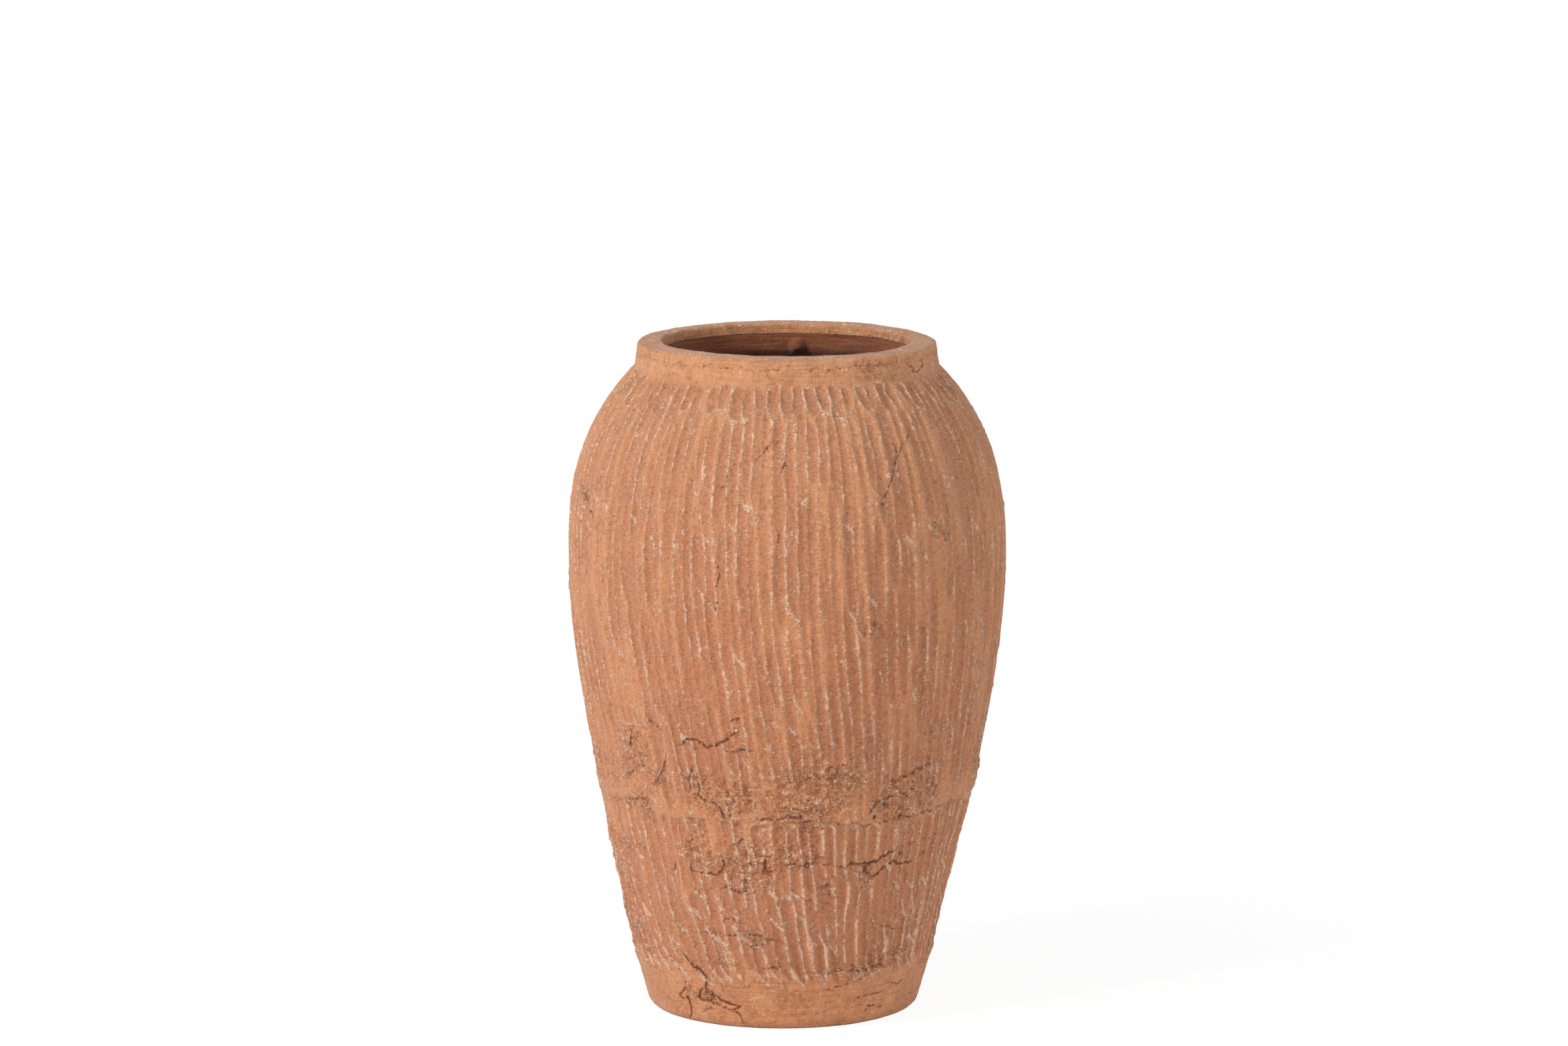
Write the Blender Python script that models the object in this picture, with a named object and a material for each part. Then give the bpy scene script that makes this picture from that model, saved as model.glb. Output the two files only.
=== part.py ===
"""A tall terracotta vase, hand-built from courses of clay and gouged with tiers of upright strokes.

A slab is the floor. Nine rings of clay stand on it, each bedded in slip on the ring below: the foot band, the
lower, middle, rising and belly courses of the wall, the shoulder, the neck, the collar and the coil that makes
the lip. The joints of the wall are cut on a slant, lower on the outside, so that each ring laps over the one that
carries it. The joints under the collar and under the lip are level. From the foot band to the collar the rings
are gouged: each stroke is a long shallow scoop with a ridge on either side, and the strokes stand in tiers whose
ends are staggered.

Sizes are in metres, +Z is up, and the vase stands on Z = 0 with its mouth upwards.
"""

import math
import random
from collections import namedtuple

import bmesh
import bpy

# Height of each course, measured up the outside
FLOOR_COURSE = 0.0110
FOOT_COURSE = 0.0250
LOWER_COURSE = 0.0630
MIDDLE_COURSE = 0.0230
RISING_COURSE = 0.0430
BELLY_COURSE = 0.0850
SHOULDER_COURSE = 0.0550
NECK_COURSE = 0.0503
COLLAR_COURSE = 0.0087
LIP_COURSE = 0.0060

# Outer radius over the ridges: at the floor, at the top of the courses named, and at the lip
BASE_RADIUS = 0.0728
FOOT_RADIUS = 0.0830
LOWER_RADIUS = 0.0979
MIDDLE_RADIUS = 0.1026
BELLY_RADIUS = 0.1199
NECK_RADIUS = 0.0834
LIP_RADIUS = 0.0813

# How far the shoulder draws in for each metre that it climbs, where it reaches the neck
NECK_DRAW = 0.96

# Thickness of the clay
WALL = 0.0120
FLOOR_THICKNESS = 0.0140
LIP_WIDTH = 0.0133

# Rounded edges, as their width across and their height
BASE_EDGE_WIDTH = 0.0072
BASE_EDGE_HEIGHT = 0.0050
LIP_EDGE_WIDTH = 0.0063
LIP_EDGE_HEIGHT = 0.0023
MOUTH_EDGE_WIDTH = 0.0020
MOUTH_EDGE_HEIGHT = 0.0020

# Slip joints: the climb of a slanted joint for each metre inwards, and the bed of slip that parts two rings
JOINT_CLIMB = 0.35
SLIP = 0.0003

# The lower wall was set down a little to one side of the belly
SIDE_STEP = 0.0022
SIDE_STEP_REACH = 0.0350

# Gouged strokes: how many stand round the wall above and below the middle joint, and how deep they go
UPPER_STROKES = 72
LOWER_STROKES = 56
UPPER_DEPTH = 0.0015
LOWER_DEPTH = 0.0017

# Tiers of strokes in each course, and the height of the short tier right under the neck
LOWER_TIERS = 2
MIDDLE_TIERS = 1
RISING_TIERS = 1
BELLY_TIERS = 1
SHOULDER_TIERS = 1
NECK_TIER = 0.0143

# A stroke's section is an arc from ridge to ridge, drawn through two points this far either side of its middle,
# as a share of the pitch. Along its length it is shallow at both ends.
FLOOR_REACH = 0.20
END_DEPTH = 0.20
SCOOP_FULLNESS = 0.7

# Unevenness of the hand: shares of a stroke's depth, of its pitch and of its tier's height
DEPTH_SPREAD = 0.30
TILT = 0.25
DRIFT = 0.18
STAGGER = 0.22

# Facets: round the smooth rings, round the inside of a gouged one, along a rounded edge, up a tier of strokes,
# and the height of a band of them on a plain face
SMOOTH_SEGMENTS = 60
INNER_SEGMENTS = 40
EDGE_STEPS = 3
UPPER_TIER_ROWS = 3
LOWER_TIER_ROWS = 2
PLAIN_BAND = 0.0300

# Difference of height over which the outline's slope is taken
SLOPE_STEP = 0.0001

# Fired clay as it looks in even light: linear colour, roughness and the sharpest shaded edge
GOUGED_CLAY = (0.545, 0.245, 0.130)
SMOOTHED_CLAY = (0.585, 0.270, 0.140)
CLAY_ROUGHNESS = 0.92
SHARP_EDGE = math.radians(35)

# Heights that follow from the courses
FLOOR_SEAM = FLOOR_COURSE
FOOT_SEAM = FLOOR_SEAM + FOOT_COURSE
LOWER_SEAM = FOOT_SEAM + LOWER_COURSE
MIDDLE_SEAM = LOWER_SEAM + MIDDLE_COURSE
RISING_SEAM = MIDDLE_SEAM + RISING_COURSE
BELLY_SEAM = RISING_SEAM + BELLY_COURSE
SHOULDER_SEAM = BELLY_SEAM + SHOULDER_COURSE
NECK_SEAM = SHOULDER_SEAM + NECK_COURSE
LIP_SEAM = NECK_SEAM + COLLAR_COURSE
TOP = LIP_SEAM + LIP_COURSE

MOUTH_RADIUS = LIP_RADIUS - LIP_WIDTH

# The wall's outline passes through these heights and radii
STATIONS = (
    (0.0, BASE_RADIUS),
    (FOOT_SEAM, FOOT_RADIUS),
    (LOWER_SEAM, LOWER_RADIUS),
    (MIDDLE_SEAM, MIDDLE_RADIUS),
    (BELLY_SEAM, BELLY_RADIUS),
    (NECK_SEAM, NECK_RADIUS),
)


def blend(low, high, share):
    return low + (high - low) * share


def smooth_share(value, start, end):
    """0 before start, 1 after end, and an even turn between them."""
    share = min(max((value - start) / (end - start), 0.0), 1.0)
    return share * share * (3 - 2 * share)


def station_slopes():
    """Slope of the outline at each station: level at the belly, and as the neighbours lead elsewhere."""
    spans = [(b[0] - a[0], (b[1] - a[1]) / (b[0] - a[0])) for a, b in zip(STATIONS, STATIONS[1:])]
    slopes = [spans[0][1]]
    for (below, slope_below), (above, slope_above) in zip(spans, spans[1:]):
        slopes.append((slope_below * above + slope_above * below) / (below + above))
    slopes[STATIONS.index((BELLY_SEAM, BELLY_RADIUS))] = 0.0
    return slopes + [-NECK_DRAW]


SLOPES = station_slopes()


def wall_radius(height):
    """Outer radius over the ridges, below the neck: a smooth curve through the stations."""
    span = 0
    while span < len(STATIONS) - 2 and height > STATIONS[span + 1][0]:
        span += 1
    (low, radius_low), (high, radius_high) = STATIONS[span], STATIONS[span + 1]
    length = high - low
    t = (height - low) / length
    rise = t * t * (3 - 2 * t)
    lead = length * t * (1 - t) * ((1 - t) * SLOPES[span] - t * SLOPES[span + 1])
    return blend(radius_low, radius_high, rise) + lead


def outer_radius(height):
    """Outer radius at any height: the wall's curve, then the collar's straight side."""
    if height <= NECK_SEAM:
        return wall_radius(height)
    return blend(NECK_RADIUS, LIP_RADIUS, (height - NECK_SEAM) / (TOP - NECK_SEAM))


def inner_radius(height):
    """Inner radius: the wall's thickness in from the outline, and nowhere narrower than the mouth."""
    height = min(height, NECK_SEAM)
    slope = (wall_radius(height) - wall_radius(height - SLOPE_STEP)) / SLOPE_STEP
    return max(MOUTH_RADIUS, wall_radius(height) - WALL * math.hypot(1, slope))


def side_shift(height):
    """How far the centre of the wall lies to the left at a height."""
    start = LOWER_SEAM - SIDE_STEP_REACH
    end = LOWER_SEAM + SIDE_STEP_REACH
    return -SIDE_STEP * (1 - smooth_share(height, start, end))


def floor_climb():
    """Climb of the joint round the floor: from the slab's outer edge to its full thickness inside."""
    width = outer_radius(FLOOR_SEAM) - inner_radius(FLOOR_THICKNESS)
    return (FLOOR_THICKNESS - FLOOR_COURSE) / width


# How a course is gouged: strokes round it, their depth, rows of facets to a tier, and whether the strokes run at
# full depth into the joint above
Gouging = namedtuple("Gouging", "strokes depth rows full_top")

# Each slip joint: its height on the outside and its climb inwards
FLOOR_JOINT = (FLOOR_SEAM, floor_climb())
FOOT_JOINT = (FOOT_SEAM, JOINT_CLIMB)
LOWER_JOINT = (LOWER_SEAM, JOINT_CLIMB)
MIDDLE_JOINT = (MIDDLE_SEAM, JOINT_CLIMB)
RISING_JOINT = (RISING_SEAM, JOINT_CLIMB)
BELLY_JOINT = (BELLY_SEAM, JOINT_CLIMB)
SHOULDER_JOINT = (SHOULDER_SEAM, JOINT_CLIMB)
NECK_JOINT = (NECK_SEAM, 0.0)
LIP_JOINT = (LIP_SEAM, 0.0)


def bed_height(joint, radius):
    """Height of the top of the lower ring at a radius within the joint."""
    seam, climb = joint
    return seam + climb * (outer_radius(seam) - radius)


def seat_height(joint, radius):
    """Height of the underside of the upper ring: the bed, and the slip on it."""
    return bed_height(joint, radius) + SLIP * math.hypot(1, joint[1])


def inner_edge(joint):
    """Inner radius of a joint."""
    seam, climb = joint
    return inner_radius(seam + climb * WALL)


def ring(radius, height, segments=SMOOTH_SEGMENTS):
    """A level ring of points, each as its angle, radius and height."""
    return [(math.tau * i / segments, radius, height) for i in range(segments)]


def bands(below, above):
    """How many bands of facets a plain face has between two joints."""
    return math.ceil((above[0] - below[0]) / PLAIN_BAND)


def outer_rings(below, above):
    """Rings up a plain outer face from one joint to the next."""
    low = outer_radius(below[0])
    high = outer_radius(above[0])
    rings = [ring(low, seat_height(below, low))]
    steps = bands(below, above)
    for i in range(1, steps):
        height = blend(below[0], above[0], i / steps)
        rings.append(ring(outer_radius(height), height))
    return rings + [ring(high, bed_height(above, high))]


def inner_rings(above, below, segments):
    """Rings down the inner face from one joint to the next."""
    high = bed_height(above, inner_edge(above))
    low = seat_height(below, inner_edge(below))
    rings = [ring(inner_edge(above), high, segments)]
    steps = bands(below, above)
    for i in range(1, steps):
        height = blend(high, low, i / steps)
        rings.append(ring(inner_radius(height), height, segments))
    return rings + [ring(inner_edge(below), low, segments)]


def scoop(share):
    """Depth of a stroke along its length, as a share of its deepest: it runs out towards both ends."""
    return blend(END_DEPTH, 1.0, math.sin(math.pi * share) ** SCOOP_FULLNESS)


def tier_heights(low, high, tiers):
    """Heights where even tiers meet between two heights, both ends included."""
    return [blend(low, high, i / tiers) for i in range(tiers + 1)]


def stagger(cuts, chance):
    """One stroke's own copy of the heights where tiers meet: moved up or down, but not at the joints."""
    moved = [cuts[0]]
    for below, cut, above in zip(cuts, cuts[1:], cuts[2:]):
        moved.append(cut + STAGGER * min(cut - below, above - cut) * chance.uniform(-1, 1))
    return moved + [cuts[-1]]


def gouged_rings(below, above, gouging, cuts, chance):
    """Rings up a gouged face: in each ring, a point on every ridge and two on the floor of every stroke. cuts are
    the heights where the tiers of strokes meet.
    """
    strokes, last_tier = gouging.strokes, len(cuts) - 2
    pitch = math.tau / strokes
    floor_depth = gouging.depth * (1 - (2 * FLOOR_REACH) ** 2)
    columns = [stagger(cuts, chance) for _ in range(strokes)]
    drifts = [[chance.uniform(-DRIFT, DRIFT) * pitch for _ in cuts] for _ in range(strokes)]
    depths = [[floor_depth * chance.uniform(1 - DEPTH_SPREAD, 1) for _ in cuts] for _ in range(strokes)]
    tilts = [chance.uniform(-TILT, TILT) for _ in range(strokes)]
    rings = []
    for row in range(gouging.rows * (last_tier + 1) + 1):
        tier = min(row // gouging.rows, last_tier)
        share = row / gouging.rows - tier
        heights = [blend(column[tier], column[tier + 1], share) for column in columns]
        turns = [i * pitch + blend(drift[tier], drift[tier + 1], share) for i, drift in enumerate(drifts)]
        turns.append(turns[0] + math.tau)
        fullness = 1.0 if gouging.full_top and tier == last_tier and 2 * share > 1 else scoop(share)
        points = []
        for i, height in enumerate(heights):
            ridge_height = (heights[i - 1] + height) / 2
            points.append((turns[i], outer_radius(ridge_height), ridge_height))
            for side in (-1, 1):
                turn = (turns[i] + turns[i + 1]) / 2 + side * FLOOR_REACH * pitch
                cut = depths[i][tier] * fullness * (1 + side * tilts[i])
                points.append((turn, outer_radius(height) - cut, height))
        rings.append(points)
    rings[0] = [(turn, radius, seat_height(below, radius)) for turn, radius, _ in rings[0]]
    rings[-1] = [(turn, radius, bed_height(above, radius)) for turn, radius, _ in rings[-1]]
    return rings


def stitch(bm, first, second):
    """Faces between two rings, each a list of (angle, vertex). They may differ in their number of points."""
    if len(first) == len(second):
        for i in range(len(first)):
            j = (i + 1) % len(first)
            bm.faces.new((first[i][1], first[j][1], second[j][1], second[i][1]))
        return
    a = first + [(first[0][0] + math.tau, first[0][1])]
    b = second + [(second[0][0] + math.tau, second[0][1])]
    i = j = 0
    while i < len(first) or j < len(second):
        if j == len(second) or (i < len(first) and a[i + 1][0] + a[i][0] <= b[j + 1][0] + b[j][0]):
            bm.faces.new((a[i][1], a[i + 1][1], b[j][1]))
            i += 1
        else:
            bm.faces.new((a[i][1], b[j + 1][1], b[j][1]))
            j += 1


def add_ring(bm, points, foot):
    """Vertices of a ring, with heights taken from the foot of the piece."""
    made = []
    for angle, radius, height in points:
        x = radius * math.cos(angle) + side_shift(height)
        made.append((angle, bm.verts.new((x, radius * math.sin(angle), height - foot))))
    return made


def clay(name, colour):
    material = bpy.data.materials.new(name)
    material.use_nodes = True
    shader = material.node_tree.nodes["Principled BSDF"]
    shader.inputs["Base Color"].default_value = (*colour, 1.0)
    shader.inputs["Roughness"].default_value = CLAY_ROUGHNESS
    shader.inputs["Metallic"].default_value = 0.0
    material.diffuse_color = (*colour, 1.0)
    return material


def make_piece(name, rings, foot, colour, vase, solid=False):
    """One course from the rings round its section. A solid one is capped below and above, and a hollow one closes
    on itself. The rings go up the outer face and down the inner one, so the faces point out.
    """
    bm = bmesh.new()
    loops = [add_ring(bm, points, foot) for points in rings]
    for first, second in zip(loops, loops[1:]):
        stitch(bm, first, second)
    if solid:
        bm.faces.new([vertex for _, vertex in reversed(loops[0])])
        bm.faces.new([vertex for _, vertex in loops[-1]])
    else:
        stitch(bm, loops[-1], loops[0])
    mesh = bpy.data.meshes.new(name)
    bm.to_mesh(mesh)
    bm.free()
    mesh.shade_smooth()
    mesh.set_sharp_from_angle(angle=SHARP_EDGE)
    mesh.materials.append(clay(name + "_clay", colour))
    piece = bpy.data.objects.new(name, mesh)
    piece.location.z = foot
    piece.parent = vase
    bpy.context.scene.collection.objects.link(piece)
    return piece


def edge_rings(width, height, place):
    """Rings round a quarter turn of an edge. place gives a ring's radius and height from the way in and up."""
    rings = []
    for i in range(EDGE_STEPS + 1):
        turn = math.pi / 2 * i / EDGE_STEPS
        rings.append(ring(*place(width * (1 - math.sin(turn)), height * (1 - math.cos(turn)))))
    return rings


def make_floor_slab(vase):
    """The slab: flat underneath, with a rounded bottom edge and a sloping bed for the foot band round its top."""
    width = BASE_EDGE_WIDTH
    height = min(BASE_EDGE_HEIGHT, FLOOR_COURSE / 2)
    rings = edge_rings(width, height, lambda inwards, up: (outer_radius(up) - inwards, up))
    outer = outer_radius(FLOOR_SEAM)
    inner = inner_edge(FLOOR_JOINT)
    rings.append(ring(outer, bed_height(FLOOR_JOINT, outer)))
    rings.append(ring(inner, bed_height(FLOOR_JOINT, inner)))
    make_piece("floor_slab", rings, 0.0, SMOOTHED_CLAY, vase, solid=True)


def make_plain_course(name, below, above, vase):
    """A smooth ring between two joints."""
    rings = outer_rings(below, above) + inner_rings(above, below, SMOOTH_SEGMENTS)
    make_piece(name, rings, below[0], SMOOTHED_CLAY, vase)


def make_gouged_course(name, below, above, gouging, cuts, vase):
    """A ring of wall with tiers of strokes outside, which meet at the heights in cuts."""
    outside = gouged_rings(below, above, gouging, cuts, random.Random(name))
    inside = inner_rings(above, below, INNER_SEGMENTS)
    make_piece(name, outside + inside, below[0], GOUGED_CLAY, vase)


def make_lip_coil(vase):
    """The coil of the lip: its top falls away to a wide soft edge outside and a small one at the mouth."""
    seat = seat_height(LIP_JOINT, LIP_RADIUS)
    depth = TOP - seat
    fall = min(LIP_EDGE_HEIGHT, depth / 2)
    tuck = min(MOUTH_EDGE_HEIGHT, depth / 2)
    outer_edge = edge_rings(LIP_EDGE_WIDTH, fall, lambda inwards, down: (LIP_RADIUS - inwards, TOP - down))
    mouth_edge = edge_rings(MOUTH_EDGE_WIDTH, tuck, lambda outwards, down: (MOUTH_RADIUS + outwards, TOP - down))
    rings = [ring(outer_radius(LIP_SEAM), seat), *reversed(outer_edge), *mouth_edge, ring(MOUTH_RADIUS, seat)]
    make_piece("lip_coil", rings, LIP_SEAM, SMOOTHED_CLAY, vase)


def make_wall(vase):
    """The gouged courses between the foot band and the shoulder."""
    coarse = Gouging(LOWER_STROKES, LOWER_DEPTH, LOWER_TIER_ROWS, full_top=False)
    coarse_to_seam = coarse._replace(full_top=True)
    fine = Gouging(UPPER_STROKES, UPPER_DEPTH, LOWER_TIER_ROWS, full_top=False)
    fine_to_seam = Gouging(UPPER_STROKES, UPPER_DEPTH, UPPER_TIER_ROWS, full_top=True)
    lower_cuts = tier_heights(FOOT_SEAM, LOWER_SEAM, LOWER_TIERS)
    middle_cuts = tier_heights(LOWER_SEAM, MIDDLE_SEAM, MIDDLE_TIERS)
    rising_cuts = tier_heights(MIDDLE_SEAM, RISING_SEAM, RISING_TIERS)
    belly_cuts = tier_heights(RISING_SEAM, BELLY_SEAM, BELLY_TIERS)
    make_gouged_course("lower_wall", FOOT_JOINT, LOWER_JOINT, coarse, lower_cuts, vase)
    make_gouged_course("middle_wall", LOWER_JOINT, MIDDLE_JOINT, coarse_to_seam, middle_cuts, vase)
    make_gouged_course("rising_wall", MIDDLE_JOINT, RISING_JOINT, fine, rising_cuts, vase)
    make_gouged_course("belly_wall", RISING_JOINT, BELLY_JOINT, fine_to_seam, belly_cuts, vase)


def make_shoulder(vase):
    """The two closing-in courses. The upper one ends in a short tier of strokes right under the neck."""
    gouging = Gouging(UPPER_STROKES, UPPER_DEPTH, UPPER_TIER_ROWS, full_top=False)
    shoulder_cuts = tier_heights(BELLY_SEAM, SHOULDER_SEAM, SHOULDER_TIERS)
    neck_cuts = [SHOULDER_SEAM, NECK_SEAM - min(NECK_TIER, NECK_COURSE / 2), NECK_SEAM]
    make_gouged_course("shoulder_wall", BELLY_JOINT, SHOULDER_JOINT, gouging, shoulder_cuts, vase)
    make_gouged_course("neck_wall", SHOULDER_JOINT, NECK_JOINT, gouging, neck_cuts, vase)


def build():
    for leftover in list(bpy.data.objects):
        bpy.data.objects.remove(leftover, do_unlink=True)
    vase = bpy.data.objects.new("vase", None)
    bpy.context.scene.collection.objects.link(vase)
    make_floor_slab(vase)
    make_plain_course("foot_band", FLOOR_JOINT, FOOT_JOINT, vase)
    make_wall(vase)
    make_shoulder(vase)
    make_plain_course("neck_collar", NECK_JOINT, LIP_JOINT, vase)
    make_lip_coil(vase)


build()
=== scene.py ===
"""Looks of the gouged terracotta vase: the skin of each ring of clay, its finish, and the studio."""

import math
from collections import namedtuple

import bpy
import numpy as np
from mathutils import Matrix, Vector


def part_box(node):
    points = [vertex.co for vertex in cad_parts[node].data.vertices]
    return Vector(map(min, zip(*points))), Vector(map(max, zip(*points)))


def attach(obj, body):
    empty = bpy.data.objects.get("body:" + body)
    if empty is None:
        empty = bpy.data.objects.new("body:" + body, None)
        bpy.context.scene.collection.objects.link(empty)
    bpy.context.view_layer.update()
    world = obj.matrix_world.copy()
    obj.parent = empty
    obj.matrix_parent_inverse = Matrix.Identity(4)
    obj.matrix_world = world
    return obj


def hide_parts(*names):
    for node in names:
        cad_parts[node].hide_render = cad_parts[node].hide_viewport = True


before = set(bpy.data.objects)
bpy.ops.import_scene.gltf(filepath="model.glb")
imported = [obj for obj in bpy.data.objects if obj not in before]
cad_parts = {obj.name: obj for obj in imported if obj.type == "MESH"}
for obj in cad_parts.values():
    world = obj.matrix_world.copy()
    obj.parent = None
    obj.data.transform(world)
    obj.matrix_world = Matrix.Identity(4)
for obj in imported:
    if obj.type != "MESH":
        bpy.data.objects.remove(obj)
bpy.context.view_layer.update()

MM = 0.001

# Mesh of the skin: columns round it, and rows or rings of its edges and flats
COLUMNS = 1080
INNER_COLUMNS = 360
EDGE_ROWS = 7
SLAB_ROWS = 6
LIP_SIDE_ROWS = 5
LIP_TOP_ROWS = 10
MOUTH_ROWS = 5
FLOOR_RINGS = 14

# Heights where the courses meet outside
FLOOR_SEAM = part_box("foot_band")[0].z
FOOT_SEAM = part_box("lower_wall")[0].z
LOWER_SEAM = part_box("middle_wall")[0].z
MIDDLE_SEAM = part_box("rising_wall")[0].z
RISING_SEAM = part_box("belly_wall")[0].z
BELLY_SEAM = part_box("shoulder_wall")[0].z
SHOULDER_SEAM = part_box("neck_wall")[0].z
NECK_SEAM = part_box("neck_collar")[0].z
LIP_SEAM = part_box("lip_coil")[0].z
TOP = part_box("lip_coil")[1].z

# The courses between the slab and the lip: the seams below and above, and the rows outside and inside
COURSES = {
    "foot_band": (FLOOR_SEAM, FOOT_SEAM, 24, 8),
    "lower_wall": (FOOT_SEAM, LOWER_SEAM, 60, 16),
    "middle_wall": (LOWER_SEAM, MIDDLE_SEAM, 23, 8),
    "rising_wall": (MIDDLE_SEAM, RISING_SEAM, 43, 12),
    "belly_wall": (RISING_SEAM, BELLY_SEAM, 64, 20),
    "shoulder_wall": (BELLY_SEAM, SHOULDER_SEAM, 44, 16),
    "neck_wall": (SHOULDER_SEAM, NECK_SEAM, 54, 24),
    "neck_collar": (NECK_SEAM, LIP_SEAM, 12, 8),
}

# The lower wall stands to one side of the belly, and comes back over this height either side of its seam
SIDE_STEP = -(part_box("foot_band")[0].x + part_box("foot_band")[1].x) / 2
SIDE_STEP_REACH = 35 * MM

# Outline of the clay, as in the CAD, and the step over which its slope is taken
BASE_RADIUS = 72.8 * MM
NECK_DRAW = 0.96
WALL = 12 * MM
FLOOR_THICKNESS = 14 * MM
LIP_RADIUS = 81.3 * MM
MOUTH_RADIUS = 68 * MM
BASE_EDGE = (7.2 * MM, 5.0 * MM)
LIP_EDGE = (6.3 * MM, 2.3 * MM)
MOUTH_EDGE = (2.0 * MM, 2.0 * MM)
JOINT_CLIMB = 0.35
SLOPE_STEP = 0.1 * MM

# The photograph's camera
PHOTO_SIZE = (2351, 1568)
SENSOR = 36.0
LENS = 173.4
CAMERA_PLACE = (-1.66 * MM, -4.088, 0.9179)
CAMERA_PITCH = math.radians(90 - 9.03)


def smoothstep(value, start, end):
    """0 before start, 1 after end, with an even turn between them. start may be the larger."""
    share = np.clip((value - start) / (end - start), 0.0, 1.0)
    return share * share * (3 - 2 * share)


def blend(low, high, share):
    return low + (high - low) * share


def side_shift(height):
    """How far the centre of the wall lies to the left at a height."""
    return -SIDE_STEP * (1 - smoothstep(height, LOWER_SEAM - SIDE_STEP_REACH, LOWER_SEAM + SIDE_STEP_REACH))


def node_radius(node, height):
    """Largest radius of a CAD node within a millimetre of a height."""
    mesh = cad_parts[node].data
    places = np.zeros(len(mesh.vertices) * 3, np.float32)
    mesh.vertices.foreach_get("co", places)
    places = places.reshape(-1, 3)
    places = places[np.abs(places[:, 2] - height) < MM]
    return float(np.hypot(places[:, 0] - side_shift(height), places[:, 1]).max())


STATIONS = (
    (0.0, BASE_RADIUS),
    (FOOT_SEAM, node_radius("foot_band", FOOT_SEAM)),
    (LOWER_SEAM, node_radius("lower_wall", LOWER_SEAM)),
    (MIDDLE_SEAM, node_radius("middle_wall", MIDDLE_SEAM)),
    (BELLY_SEAM, node_radius("belly_wall", BELLY_SEAM)),
    (NECK_SEAM, node_radius("neck_collar", NECK_SEAM)),
)


def station_slopes():
    """Slope of the outline at each station: level at the belly, and as the neighbours lead elsewhere."""
    spans = [(b[0] - a[0], (b[1] - a[1]) / (b[0] - a[0])) for a, b in zip(STATIONS, STATIONS[1:])]
    slopes = [spans[0][1]]
    for (below, slope_below), (above, slope_above) in zip(spans, spans[1:]):
        slopes.append((slope_below * above + slope_above * below) / (below + above))
    slopes[-1] = 0.0
    return slopes + [-NECK_DRAW]


SLOPES = station_slopes()


def wall_radius(height):
    """Outer radius over the ridges below the neck, for an array of heights."""
    height = np.asarray(height, float)
    radius = np.zeros_like(height)
    for span, ((low, radius_low), (high, radius_high)) in enumerate(zip(STATIONS, STATIONS[1:])):
        length = high - low
        t = (height - low) / length
        lead = length * t * (1 - t) * ((1 - t) * SLOPES[span] - t * SLOPES[span + 1])
        curve = blend(radius_low, radius_high, t * t * (3 - 2 * t)) + lead
        radius = np.where(height >= low, curve, radius)
    return radius


def outer_radius(height):
    """Outer radius at any height: the wall's curve, then the collar's nearly upright side."""
    side = blend(STATIONS[-1][1], LIP_RADIUS, (height - NECK_SEAM) / (TOP - NECK_SEAM))
    return np.where(height <= NECK_SEAM, wall_radius(np.minimum(height, NECK_SEAM)), side)


def inner_radius(height):
    """Inner radius: the wall's thickness in from the outline, and nowhere narrower than the mouth."""
    height = np.minimum(height, NECK_SEAM)
    slope = (wall_radius(height) - wall_radius(height - SLOPE_STEP)) / SLOPE_STEP
    return np.maximum(MOUTH_RADIUS, wall_radius(height) - WALL * np.hypot(1, slope))


# Numbers that mix the bits of a lattice point, the weight of a finer octave of noise against the one
# before, and how far apart two octaves or seeds lie on the lattice
MIXERS = [np.uint32(value) for value in (374761393, 668265263, 2246822519, 3266489917, 2654435761)]
SEED_MIXER = 40503
SEED_START = 12345
OCTAVE_WEIGHT = 0.55
LATTICE_SHIFT = 101.7


def lattice(x, y, z, seed):
    """A repeatable number from 0 to 1 for each point of a lattice."""
    mixed = x * MIXERS[0] + y * MIXERS[1] + z * MIXERS[2]
    mixed = (mixed + np.uint32(seed * SEED_MIXER + SEED_START)) * MIXERS[3]
    mixed = (mixed ^ (mixed >> np.uint32(15))) * MIXERS[4]
    return (mixed ^ (mixed >> np.uint32(13))).astype(np.float32) / np.float32(2**32)


def noise(places, size, seed, octaves=1):
    """Smooth noise from -1 to 1 at an array of places. size is the width of its coarsest lumps in
    millimetres: one number, or one for each axis. Each use has a seed of its own.
    """
    total, weight, weights = 0.0, 1.0, 0.0
    for octave in range(octaves):
        cell = places / (np.asarray(size, float) * MM) * 2**octave + LATTICE_SHIFT * (seed + octave)
        low = np.floor(cell)
        share = (cell - low).astype(np.float32)
        share = share * share * (3 - 2 * share)
        corner = low.astype(np.int64).astype(np.uint32)
        value = 0.0
        for step in np.ndindex(2, 2, 2):
            near = [share[..., i] if step[i] else 1 - share[..., i] for i in range(3)]
            at = [corner[..., i] + np.uint32(step[i]) for i in range(3)]
            value = value + near[0] * near[1] * near[2] * lattice(*at, seed)
        total = total + weight * (2 * value - 1)
        weights += weight
        weight *= OCTAVE_WEIGHT
    return total / weights


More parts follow.
